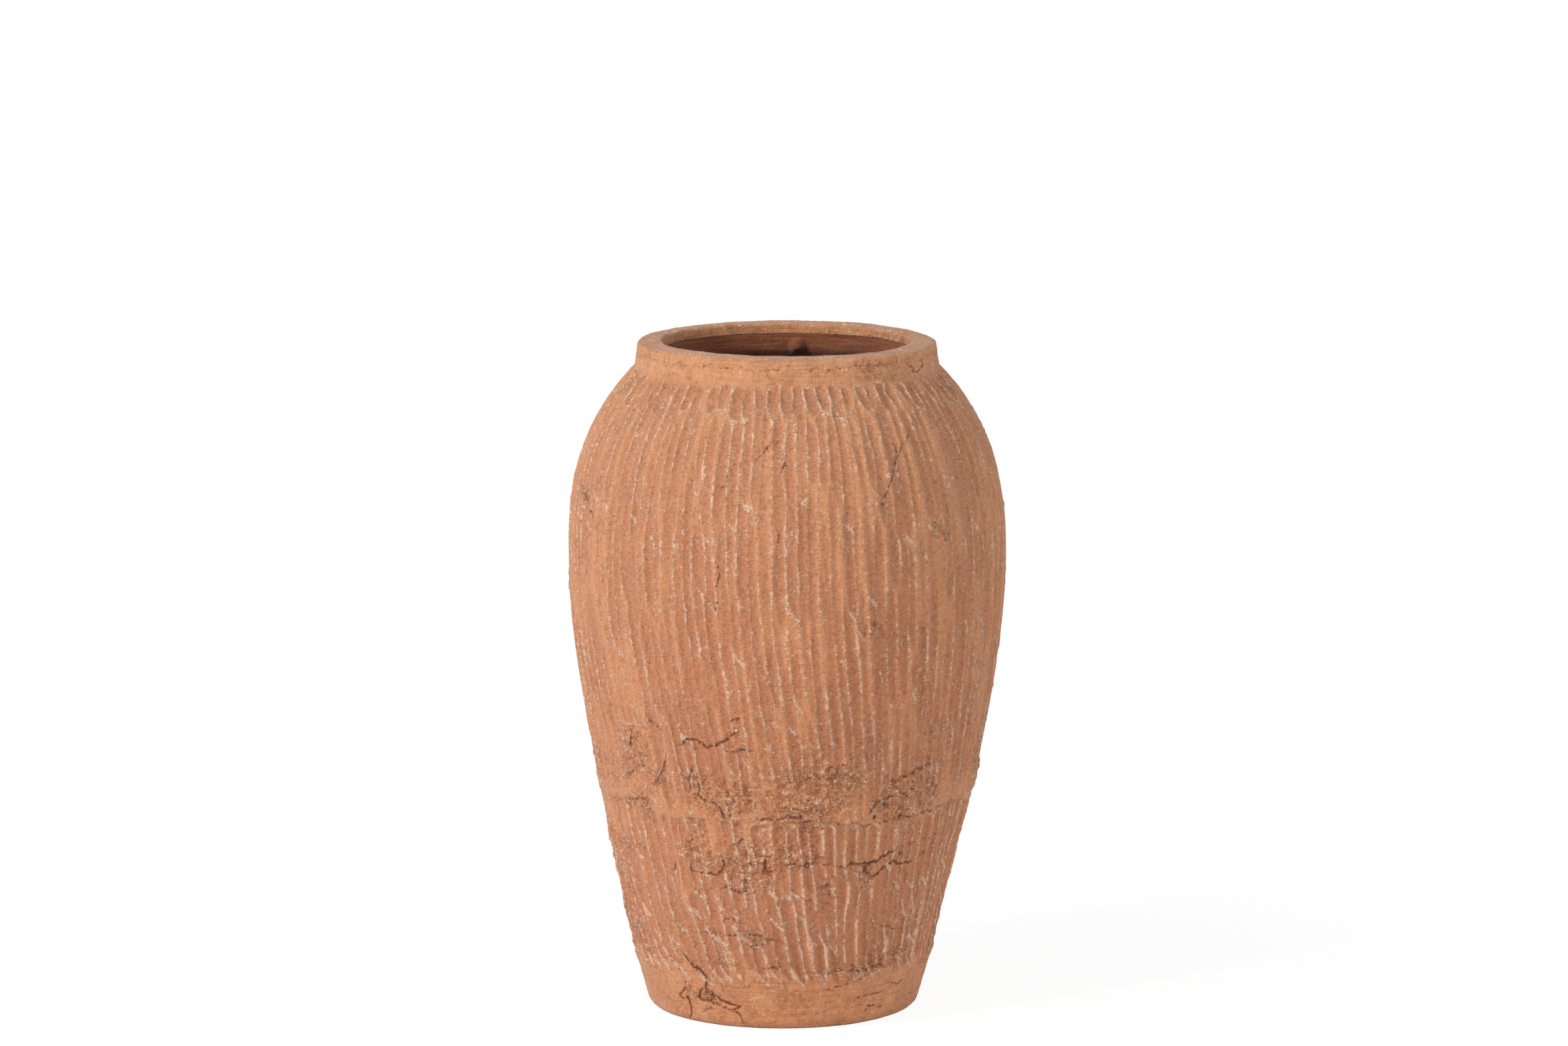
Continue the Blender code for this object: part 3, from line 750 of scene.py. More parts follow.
def inner_joint(seam):
    """Height of a joint on the inside: those of the wall climb as they pass through it."""
    if seam in (NECK_SEAM, LIP_SEAM):
        return seam
    if seam == FLOOR_SEAM:
        return FLOOR_THICKNESS
    edge = inner_radius(seam + JOINT_CLIMB * WALL)
    return float(seam + JOINT_CLIMB * (outer_radius(seam) - edge))


def inner_grid(angle):
    """Rows down the inside from the joint under the lip to the floor."""
    grid = Grid()
    for name, (low, high, _, rows) in reversed(COURSES.items()):
        height = np.linspace(inner_joint(high), inner_joint(low), rows + 1)[:, None]
        grid.add(name, inner_radius(height) + 0 * angle, height + 0 * angle)
    return grid.close()


def outline_normal(grid):
    """Unit normal of the outline at every place of a grid: its part outwards and its part upwards."""
    run, rise = np.gradient(grid.radius, axis=0), np.gradient(grid.height, axis=0)
    length = np.hypot(run, rise)
    return rise / length, -run / length


def stand(angle, radius, height):
    """Places of a grid in space."""
    x = radius * np.cos(angle) + side_shift(height)
    return np.stack([x, radius * np.sin(angle), height], -1)


def grid_normals(places):
    """Smooth normals of a grid whose columns close on themselves."""
    across = np.roll(places, -1, 1) - np.roll(places, 1, 1)
    up = np.gradient(places, axis=0)
    normal = np.cross(across, up)
    return normal / np.linalg.norm(normal, axis=-1, keepdims=True)


# Seams that show as fissures: in millimetres the widest half-width, how much of their length stays closed,
# and in millimetres the length of an open stretch
FISSURES = {
    FLOOR_SEAM: (0.5, 0.25, 14),
    FOOT_SEAM: (0.6, 0.22, 12),
    LOWER_SEAM: (0.5, 0.12, 9),
    MIDDLE_SEAM: (0.60, 0.02, 4),
    RISING_SEAM: (0.4, 0.20, 7),
    LIP_SEAM: (0.20, 0.56, 3),
}

# Seams whose open stretches at the front are drawn as cracks instead, and how far a place faces the front
# where that begins and where it is complete
DRAWN_IN_FRONT = (LOWER_SEAM, MIDDLE_SEAM, RISING_SEAM)
FACING_FRONT = (0.1, 0.5)

# How far a fissure strays from its seam in millimetres, coarsely and finely, and how steeply it opens
FISSURE_STRAY = 2.0
FISSURE_FINE_STRAY = 0.7
FISSURE_OPENING = 1.6


def seam_field(angle, height, places):
    """Distance in millimetres to the edge of the nearest open stretch of a seam."""
    field = np.full(height.shape, FAR)
    stray = FISSURE_STRAY * noise(places, 6, 63, 2) + FISSURE_FINE_STRAY * noise(places, 2.6, 62, 2)
    for seam, (widest, closed, length) in FISSURES.items():
        away = np.abs((height - seam_height(seam, angle)) / MM + stray)
        closed = closed + (smoothstep(-np.sin(angle), *FACING_FRONT) if seam in DRAWN_IN_FRONT else 0)
        half_width = widest * np.clip(FISSURE_OPENING * (noise(places, length, 61, 2) - closed), -1, 1)
        field = np.minimum(field, away - half_width)
    return np.minimum(field, FAR)


# Rough clay gathers round these heights: the height and the reach either side in millimetres, and how much
ROUGH_BANDS = (
    (137, 17, 0.62),
    (100, 12, 0.40),
    (62, 18, 0.22),
    (38, 8, 0.25),
    (165, 14, 0.26),
    (363, 5, 0.14),
    (347, 8, -0.60),
)

# Torn clay: how much less than even noise gives, how much more by a crack and how far from it in millimetres,
# and the level at which clay is fully torn
LESS_TORN = 0.26
TORN_BY_CRACK = 0.35
CRACK_REACH = 1.6
FULLY_TORN = 0.62

# How much torn, smeared and worn clay fades the strokes, and the most that they fade
ROUGH_FADE = 0.36
SMEARED_FADE = 0.34
WORN_FADE = 0.30
MOST_FADE = 0.72

# Worn clay comes in over this height below the short strokes of the neck, and over this one above the strong
# seam, where it starts from this share
WORN_BELOW_NECK = 14 * MM
WORN_OVER_SEAM = 20 * MM
WORN_AT_SEAM = 0.35

# Heights of the relief: the slow warp of the wall, lumps and grit of torn clay, grit everywhere, clay
# smeared down to the strong seam, clay that stands on ridges and at the ends of strokes, and lines and waves
# of wiping
WARP = 0.45 * MM
TORN_SINK = 0.60 * MM
TORN_LUMP = 1.7 * MM
TORN_GRIT = 0.8 * MM
GRIT = 0.16 * MM
SMEARED_RISE = 0.60 * MM
CREST_RISE = 0.05 * MM
CREST_GRIT = 0.50 * MM
BURR_RISE = 0.45 * MM
BURR_GRIT = 0.3 * MM
WIPED_LINE = 0.14 * MM
WIPED_WAVE = 0.45 * MM

# Heights between which the strokes begin over the wiped foot, depths between which the floor of a stroke
# comes to count as deep, and where smeared clay begins and ends, from the strong seam up
STROKES_START = (31 * MM, 36 * MM)
DEEP = (0.45 * MM, 1.15 * MM)
SMEAR_START = (-0.2 * MM, 0.3 * MM)
SMEAR_END = (22 * MM, 6 * MM)

# Crests: the slope of a sharp ridge, the rise over a row at the sharp end of a stroke, how much an end and
# clay left there count, the most of all, the widest column spacing for broad ridges, and how much crest broad
# and narrow ridges have
RIDGE_SLOPE = 0.52
END_RISE = 0.45 * MM
END_CREST = 0.7
BURR_CREST = 1.5
MOST_CREST = 1.2
BROAD_SPACING = 0.55 * MM
BROAD_CREST = 1.30
NARROW_CREST = 1.05


def rough_share(height, places, crack):
    """How torn and granular the clay is at each place, from 0 to 1."""
    level = noise(places, 38, 71, 4) - LESS_TORN + torn_share(places)
    for middle, reach, amount in ROUGH_BANDS:
        level = level + amount * np.exp(-(((height / MM - middle) / reach) ** 2))
    level = level + TORN_BY_CRACK * np.exp(-np.clip(crack, 0, FAR) / CRACK_REACH)
    return smoothstep(level, 0.0, FULLY_TORN)


def crest_share(depth, radius, bold):
    """How sharply the surface rises to a ridge or the end of a stroke at each place, from 0 to about 1. bold
    is where the ridges are broad.
    """
    spacing = math.tau * radius / COLUMNS
    share = np.zeros_like(depth)
    broad = bold & (spacing < BROAD_SPACING)
    for steps, chosen in ((3, broad), (2, ~broad)):
        beside = (np.roll(depth, steps, 1) + np.roll(depth, -steps, 1)) / 2
        share = np.where(chosen, (beside - depth) / (steps * spacing * RIDGE_SLOPE), share)
    ends = np.zeros_like(depth)
    ends[1:-1] = ((depth[2:] + depth[:-2]) / 2 - depth[1:-1]) / END_RISE
    return np.clip(np.maximum(share, END_CREST * ends), 0, MOST_CREST)


def faded_share(height, places, above_seam, rough, smeared):
    """How much is left of the strokes at each place."""
    worn = smoothstep(noise(places, (24, 24, 44), 78, 3), 0.05, 0.45)
    worn = worn * smoothstep(height, NECK_ROW, NECK_ROW - WORN_BELOW_NECK)
    worn = worn * blend(WORN_AT_SEAM, 1, smoothstep(above_seam, 0, WORN_OVER_SEAM))
    return 1 - np.clip(ROUGH_FADE * rough + SMEARED_FADE * smeared + WORN_FADE * worn, 0, MOST_FADE)


def outer_relief(angle, radius, height, places, scoops):
    """How far the clay lies inwards of the outline, and what the material needs to know about each place."""
    crack = np.minimum(crack_field(places), seam_field(angle, height, places))
    chips = chip_depth(places)
    crack = np.where(chips > CHIP_SHOWS, np.minimum(crack, 1.4 - 1.2 * chips / MM), crack)
    rough = rough_share(height, places, crack)
    wiped = 1 - smoothstep(height, *STROKES_START) + smoothstep(height, NECK_SEAM - MM, NECK_SEAM + MM)
    wiped = np.clip(wiped, 0, 1)

    # Clay smeared down to the strong seam
    seam = seam_height(MIDDLE_SEAM, angle)
    above_seam = height - seam + 1.5 * MM * noise(places, 6, 63, 2)
    smeared = smoothstep(above_seam, *SMEAR_START) * smoothstep(above_seam, *SMEAR_END)
    smeared = smeared * smoothstep(noise(places, 26, 72, 2), -0.45, 0.05)

    # Strokes, faded where the clay is torn, smeared or worn, and the uneven clay on their ridges and ends
    fade = faded_share(height, places, above_seam, rough, smeared)
    cut, burr = scoops.deepest * fade, scoops.burr * fade
    bold = (height < seam) | (height > NECK_ROW)
    crest = np.maximum(crest_share(cut, radius, bold), BURR_CREST * burr)
    crest = crest * np.where(bold, BROAD_CREST, NARROW_CREST)
    crest = crest * np.clip(0.95 + 1.1 * noise(places, (7, 7, 13), 79, 2), 0.30, 1.20)

    # How far inwards all of it lies
    lumps = np.abs(noise(places, 5.5, 73, 2))
    grit = noise(places, 2.2, 74, 2)
    inset = cut + WARP * noise(places, 55, 75, 2)
    inset += rough * (TORN_SINK - TORN_LUMP * lumps + TORN_GRIT * grit) + GRIT * grit
    inset -= crest * (CREST_RISE + CREST_GRIT * np.maximum(grit, 0)) + burr * (BURR_RISE + BURR_GRIT * grit)
    inset -= SMEARED_RISE * smeared
    inset += wiped * WIPED_LINE * noise(places, (34, 34, 1.6), 76, 2)
    inset += wiped * WIPED_WAVE * noise(places, (16, 16, 10), 77, 3)
    inset += CRACK_DEPTH * smoothstep(crack, 0.45, -0.45) * (0.55 + 0.45 * rough)
    inset += chips

    # The soft edge of the lip is pale like a ridge
    lip_top = smoothstep(height, TOP - LIP_EDGE[1], TOP - 0.4 * MM)
    crest = np.maximum(crest, 0.5 * lip_top)
    deep = smoothstep(cut, *DEEP)
    return inset, {"crest": crest, "deep": deep, "crack": crack, "rough": rough, "wiped": wiped}


# A blob of clay on the inside of the far wall, under the lip: its pixel, radius, height and ragged edge
BLOB_PIXEL = (1195, 518)
BLOB_RADIUS = 4.0 * MM
BLOB_RISE = 4.4 * MM
BLOB_EDGE = 0.8 * MM

# Relief of the inside: lines of turning by hand, and slow waves
TURNING = 0.40 * MM
INSIDE_WAVE = 0.5 * MM


def on_far_wall(pixel):
    """The place on the inside of the far wall that the photograph shows at a pixel."""
    start, way = pixel_rays([pixel])
    reach = np.linspace(-start[1], BACK_END - start[1], RAY_STEPS)[:, None]
    places = (start + way[None] * (reach / way[:, 1])[..., None])[:, 0]
    beyond = np.hypot(places[:, 0], places[:, 1]) > inner_radius(np.clip(places[:, 2], FLOOR_THICKNESS, TOP))
    return places[np.argmax(beyond)]


def inner_relief(places):
    """How far the inner face lies towards the axis from its smooth shape."""
    turning = noise(places, (60, 60, 2.6), 81, 2)
    from_blob = np.linalg.norm(places - on_far_wall(BLOB_PIXEL), axis=-1)
    from_blob = from_blob + BLOB_EDGE * noise(places, 3, 83)
    blob = BLOB_RISE * smoothstep(from_blob, BLOB_RADIUS * 1.3, BLOB_RADIUS * 0.4)
    return TURNING * turning + INSIDE_WAVE * noise(places, 30, 82, 2) + blob


# A skin of the vase: its places, their normals, the fields for the material, and the rows of each course
Skin = namedtuple("Skin", "places normals fields courses")

# How far strokes sway sideways, slowly and finely, and how far from the strong seam they follow its wander
SLOW_SWAY = 0.45 * MM
FINE_SWAY = 0.25 * MM
SEAM_REACH = 22 * MM


def outer_skin():
    """The whole outside, with a column of the mesh on every ridge."""
    columns = np.arange(COLUMNS) / COLUMNS * math.tau
    grid = outer_grid(columns)
    angle = columns + 0 * grid.height
    places = stand(angle, grid.radius, grid.height)
    sway = SLOW_SWAY * noise(places, 16, 91, 2) + FINE_SWAY * noise(places, 4, 92)
    stray = seam_height(MIDDLE_SEAM, angle) - MIDDLE_SEAM
    level = grid.height - stray * np.exp(-(((grid.height - MIDDLE_SEAM) / SEAM_REACH) ** 2))
    angle = onto_ridges(angle, all_scoops(angle, level, sway))
    scoops = all_scoops(angle, level, sway)
    places = stand(angle, grid.radius, grid.height)
    inset, fields = outer_relief(angle, grid.radius, grid.height, places, scoops)
    inset = inset * np.clip(np.arange(len(inset)) / EDGE_ROWS, 0, 1)[:, None]
    outwards, upwards = outline_normal(grid)
    places = stand(angle, grid.radius - inset * outwards, grid.height - inset * upwards)
    return Skin(places, grid_normals(places), fields, grid.courses)


def inner_skin(mouth_row):
    """The whole inside. Its first row is the last one of the lip."""
    columns = np.arange(INNER_COLUMNS) / INNER_COLUMNS * math.tau
    grid = inner_grid(columns)
    angle = columns + 0 * grid.height
    places = stand(angle, grid.radius, grid.height)
    crack = np.abs(grid.height - LIP_SEAM) / MM + 0.8 * noise(places, 2.8, 84, 2)
    crack = np.minimum(crack - 0.5 * noise(places, 6, 85, 2), FAR)
    inset = inner_relief(places)
    fade = np.clip(np.arange(len(inset)) / 3, 0, 1)[:, None]
    places = stand(angle, grid.radius - inset * fade, grid.height)
    places[0] = mouth_row[:: COLUMNS // INNER_COLUMNS]
    return Skin(places, grid_normals(places), {"crack": crack}, grid.courses)


# What the material needs to know about each vertex, and what a plain face has
FIELDS = {"crest": 0.0, "deep": 0.0, "crack": FAR, "rough": 0.25, "wiped": 1.0, "inside": 0.0}

# Share of a strip's height on the map that its faces fill
STRIP_FILL = 0.96


def put_in_scene(name, data):
    """Makes an object and links it."""
    thing = bpy.data.objects.new(name, data)
    bpy.context.scene.collection.objects.link(thing)
    return thing


def corners(*pairs):
    """Places on the map of the corners of many faces, from a pair of arrays or numbers for each corner."""
    return np.stack([np.stack(np.broadcast_arrays(*pair), -1) for pair in pairs], -2)


class Body:
    """Vertices and faces of one piece, gathered grid by grid. Each face has its own place on the map."""

    def __init__(self):
        self.places, self.normals, self.fields = [], [], []
        self.faces, self.maps = [], []
        self.count = 0

    def add_rows(self, places, normals, fields):
        """Adds the vertices of some rows, and returns their numbers."""
        shape = places.shape[:2]
        self.places.append(places.reshape(-1, 3))
        self.normals.append(normals.reshape(-1, 3))
        values = [np.broadcast_to(fields.get(name, plain), shape).ravel() for name, plain in FIELDS.items()]
        self.fields.append(np.stack(values, 1))
        numbers = self.count + np.arange(shape[0] * shape[1]).reshape(shape)
        self.count += numbers.size
        return numbers

    def add_faces(self, faces, maps, turned=False):
        self.faces.append(faces[:, ::-1] if turned else faces)
        self.maps.append(maps[:, ::-1] if turned else maps)

    def skin(self, numbers, low, high, strips):
        """Faces of a closed grid. The map lays it out in strips, one above the other, from low to high."""
        rows, columns = numbers.shape[0] - 1, numbers.shape[1]
        row, column = np.meshgrid(np.arange(rows), np.arange(columns), indexing="ij")
        below = numbers[row, column], numbers[row, (column + 1) % columns]
        above = numbers[row + 1, (column + 1) % columns], numbers[row + 1, column]
        wide = columns / strips
        strip = np.floor(column / wide)
        tall = (high - low) / strips
        u = (column - strip * wide) / wide
        v = low + tall * (strip + row / rows * STRIP_FILL)
        du, dv = 1 / wide, tall / rows * STRIP_FILL
        maps = corners((u, v), (u + du, v), (u + du, v + dv), (u, v + dv))
        self.add_faces(np.stack([*below, *above], -1).reshape(-1, 4), maps.reshape(-1, 4, 2))

    def joint(self, outer, inner, low, high, turned):
        """Faces between a ring of the outside and one of the inside, which has fewer columns."""
        many, few = len(outer), len(inner)
        ratio = many // few
        i = np.arange(many)
        near, after = i // ratio, (i + 1) % many
        wide = np.stack([outer[i], inner[near], outer[after]], 1)
        maps = corners((i / many, high), (near / few, low), (i / many + 1 / many, high))
        self.add_faces(wide, maps, turned)
        j = np.arange(few)
        narrow = np.stack([inner[j], inner[(j + 1) % few], outer[(ratio * (j + 1)) % many]], 1)
        maps = corners((j / few, low), ((j + 1) / few, low), ((j + 1) / few, high))
        self.add_faces(narrow, maps, turned)

    def cap(self, ring, turned):
        """One flat face that closes a ring."""
        angle = np.arange(len(ring)) / len(ring) * math.tau
        spot = np.stack([0.5 + 0.01 * np.cos(angle), 0.99 + 0.005 * np.sin(angle)], -1)
        self.add_faces(ring[None], spot[None], turned)

    def make(self, name):
        mesh = bpy.data.meshes.new(name)
        places = np.concatenate(self.places).astype(np.float32)
        mesh.vertices.add(len(places))
        mesh.vertices.foreach_set("co", places.ravel())
        loops = np.concatenate([faces.ravel() for faces in self.faces]).astype(np.int32)
        sizes = np.concatenate([np.full(len(faces), faces.shape[1]) for faces in self.faces])
        mesh.loops.add(len(loops))
        mesh.loops.foreach_set("vertex_index", loops)
        mesh.polygons.add(len(sizes))
        mesh.polygons.foreach_set("loop_start", (np.cumsum(sizes) - sizes).astype(np.int32))
        mesh.update(calc_edges=True)
        bake_map = mesh.uv_layers.new(name="OFBake")
        bake_map.data.foreach_set("uv", np.concatenate([m.ravel() for m in self.maps]).astype(np.float32))
        for field, values in zip(FIELDS, np.concatenate(self.fields).T):
            attribute = mesh.attributes.new(field, "FLOAT", "POINT")
            attribute.data.foreach_set("value", values.astype(np.float32))
        mesh.shade_smooth()
        mesh.normals_split_custom_set_from_vertices(np.concatenate(self.normals).astype(np.float32))
        return put_in_scene(name, mesh)


def best_strips(places, tall_share):
    """How many strips lay a course out evenly on the square map."""
    height = np.linalg.norm(np.diff(places[:, 0], axis=0), axis=1).sum()
    around = math.tau * np.hypot(places[0, :, 0], places[0, :, 1]).mean()
    best = max(1, round(math.sqrt(around / height * tall_share)))
    return max(n for n in range(1, best + 1) if places.shape[1] % n == 0)


# From where to where up the map each part of a course lies, and then each part of the slab
OUTER_SHARE = (0.0, 0.72)
INNER_SHARE = (0.73, 0.95)
TOP_JOINT_SHARE = (0.955, 0.965)
BED_JOINT_SHARE = (0.97, 0.98)
SLAB_SIDE_SHARE = (0.0, 0.30)
SLAB_EDGE_SHARE = (0.31, 0.34)
UNDERSIDE_SHARE = (0.35, 0.60)
SLAB_JOINT_SHARE = (0.61, 0.64)
FLOOR_SHARE = (0.65, 0.95)
FLAT_STRIPS = 2

# The underside starts this far inside the rounded edge, the rings of a flat end at this radius, and the
# floor has a low spiral of this height
UNDERSIDE_INSET = 3 * MM
SMALLEST_RING = 1.5 * MM
SPIRAL = 0.25 * MM


def add_course(body, skin, name, share, inside=0.0):
    """Adds one course of a skin to a body."""
    rows = skin.courses[name]
    places = skin.places[rows]
    fields = {key: field[rows] for key, field in skin.fields.items()}
    numbers = body.add_rows(places, skin.normals[rows], {**fields, "inside": inside})
    body.skin(numbers, *share, best_strips(places, share[1] - share[0]))
    return numbers


def make_ring(name, outer, inner):
    """One course: its outside, its inside, and the faces of the joints above and below."""
    body = Body()
    outside = add_course(body, outer, name, OUTER_SHARE)
    inside = add_course(body, inner, name, INNER_SHARE, 1.0)
    body.joint(outside[-1], inside[0], *TOP_JOINT_SHARE, turned=True)
    body.joint(outside[0], inside[-1], *BED_JOINT_SHARE, turned=False)
    return body.make("clay_" + name)


def make_lip(outer):
    """The lip, whose skin runs from the collar outside to the collar inside, closed by its seat."""
    body = Body()
    outside = add_course(body, outer, "lip_coil", OUTER_SHARE)
    body.skin(outside[[-1, 0]], *BED_JOINT_SHARE, 1)
    return body.make("clay_lip_coil")


def disc(radius, height):
    """Level rings from the rim of a disc nearly to its middle."""
    angle = np.arange(INNER_COLUMNS) / INNER_COLUMNS * math.tau
    around = np.linspace(radius, SMALLEST_RING, FLOOR_RINGS + 1)[:, None] + 0 * angle
    return stand(angle + 0 * around, around, 0 * around + height)


def make_slab(outer, inner):
    """The floor: its side and bottom edge, the underside, the bed of the joint and the floor inside."""
    body = Body()
    side = add_course(body, outer, "floor_slab", SLAB_SIDE_SHARE)
    under = disc(BASE_RADIUS - BASE_EDGE[0] - UNDERSIDE_INSET, 0.0)
    below = body.add_rows(under, np.broadcast_to((0.0, 0.0, -1.0), under.shape), {})
    body.joint(side[0], below[0], *SLAB_EDGE_SHARE, turned=False)
    body.skin(below[::-1], *UNDERSIDE_SHARE, FLAT_STRIPS)
    body.cap(below[-1], turned=True)
    floor = disc(inner_radius(FLOOR_THICKNESS), FLOOR_THICKNESS)
    floor[0] = inner.places[-1]
    spiral = np.sin(np.arctan2(floor[..., 1], floor[..., 0]) + np.hypot(floor[..., 0], floor[..., 1]) / MM)
    floor[2:, :, 2] += SPIRAL * spiral[2:]
    above = body.add_rows(floor, grid_normals(floor), {"inside": 1.0})
    body.joint(side[-1], above[0], *SLAB_JOINT_SHARE, turned=True)
    body.skin(above, *FLOOR_SHARE, FLAT_STRIPS)
    body.cap(above[-1], turned=False)
    return body.make("clay_floor_slab")


# Colours in linear light. Most are the clay's own; SCOOP is also darkened as painted shade for the stroke
# floors, INSIDE is partly painted shade of the hollow, and the pit and crack colours are painted shade in
# pits, pores and cracks
SCOOP = (0.540, 0.218, 0.107)
ORANGE = (0.618, 0.265, 0.121)
TAN = (0.610, 0.266, 0.130)
PALE = (0.790, 0.510, 0.355)
DUST = (0.520, 0.290, 0.160)
PIT_SHADE = (0.370, 0.092, 0.025)
CRACK_SHADE = (0.245, 0.062, 0.018)
INSIDE = (0.330, 0.080, 0.032)


class Nodes:
    """Builds a tree of shader nodes in few words."""

    def __init__(self, tree):
        self.tree = tree
        tree.nodes.clear()

    def add(self, kind, inputs, **settings):
        node = self.tree.nodes.new(kind)
        for name, value in settings.items():
            setattr(node, name, value)
        for name, value in inputs.items():
            self.plug(node.inputs[name], value)
        return node

    def plug(self, socket, value):
        if isinstance(value, bpy.types.NodeSocket):
            self.tree.links.new(value, socket)
        elif socket.type == "RGBA":
            socket.default_value = (*value, 1.0)
        else:
            socket.default_value = value

    def maths(self, operation, *values):
        return self.add("ShaderNodeMath", dict(enumerate(values)), operation=operation).outputs[0]

    def chain(self, operation, values):
        """One operation over some values in turn."""
        result = values[0]
        for value in values[1:]:
            result = self.maths(operation, result, value)
        return result

    def times(self, *values):
        return self.chain("MULTIPLY", values)

    def most(self, *values):
        return self.chain("MAXIMUM", values)

    def total(self, *terms):
        """The sum of some terms. One that is given as a pair or more stands for their product."""
        return self.chain("ADD", [self.times(*term) if isinstance(term, tuple) else term for term in terms])

    def less(self, value):
        """1 less the value."""
        return self.maths("SUBTRACT", 1.0, value)

    def step(self, value, start, end):
        """0 before start, 1 after end, with an even turn between them."""
        inputs = {"Value": value, "From Min": start, "From Max": end}
        return self.add("ShaderNodeMapRange", inputs, interpolation_type="SMOOTHSTEP").outputs["Result"]

    def mix(self, share, a, b):
        inputs = {0: share, 6: a, 7: b}
        return self.add("ShaderNodeMix", inputs, data_type="RGBA").outputs[2]

    def shade(self, colour, level):
        """A colour made lighter or darker."""
        inputs = {0: colour, "Scale": level}
        return self.add("ShaderNodeVectorMath", inputs, operation="SCALE").outputs[0]

    def field(self, name):
        return self.add("ShaderNodeAttribute", {}, attribute_name=name).outputs["Fac"]

    def noise(self, place, size, detail=2.0, rough=0.5):
        """Noise around 0, from about -0.5 to 0.5. size is that of its lumps in millimetres, for each axis."""
        scale = tuple(1 / (value * MM) for value in size)
        moved = self.add("ShaderNodeVectorMath", {0: place, 1: scale}, operation="MULTIPLY").outputs[0]
        inputs = {"Vector": moved, "Scale": 1.0, "Detail": detail, "Roughness": rough}
        return self.maths("SUBTRACT", self.add("ShaderNodeTexNoise", inputs).outputs[0], 0.5)


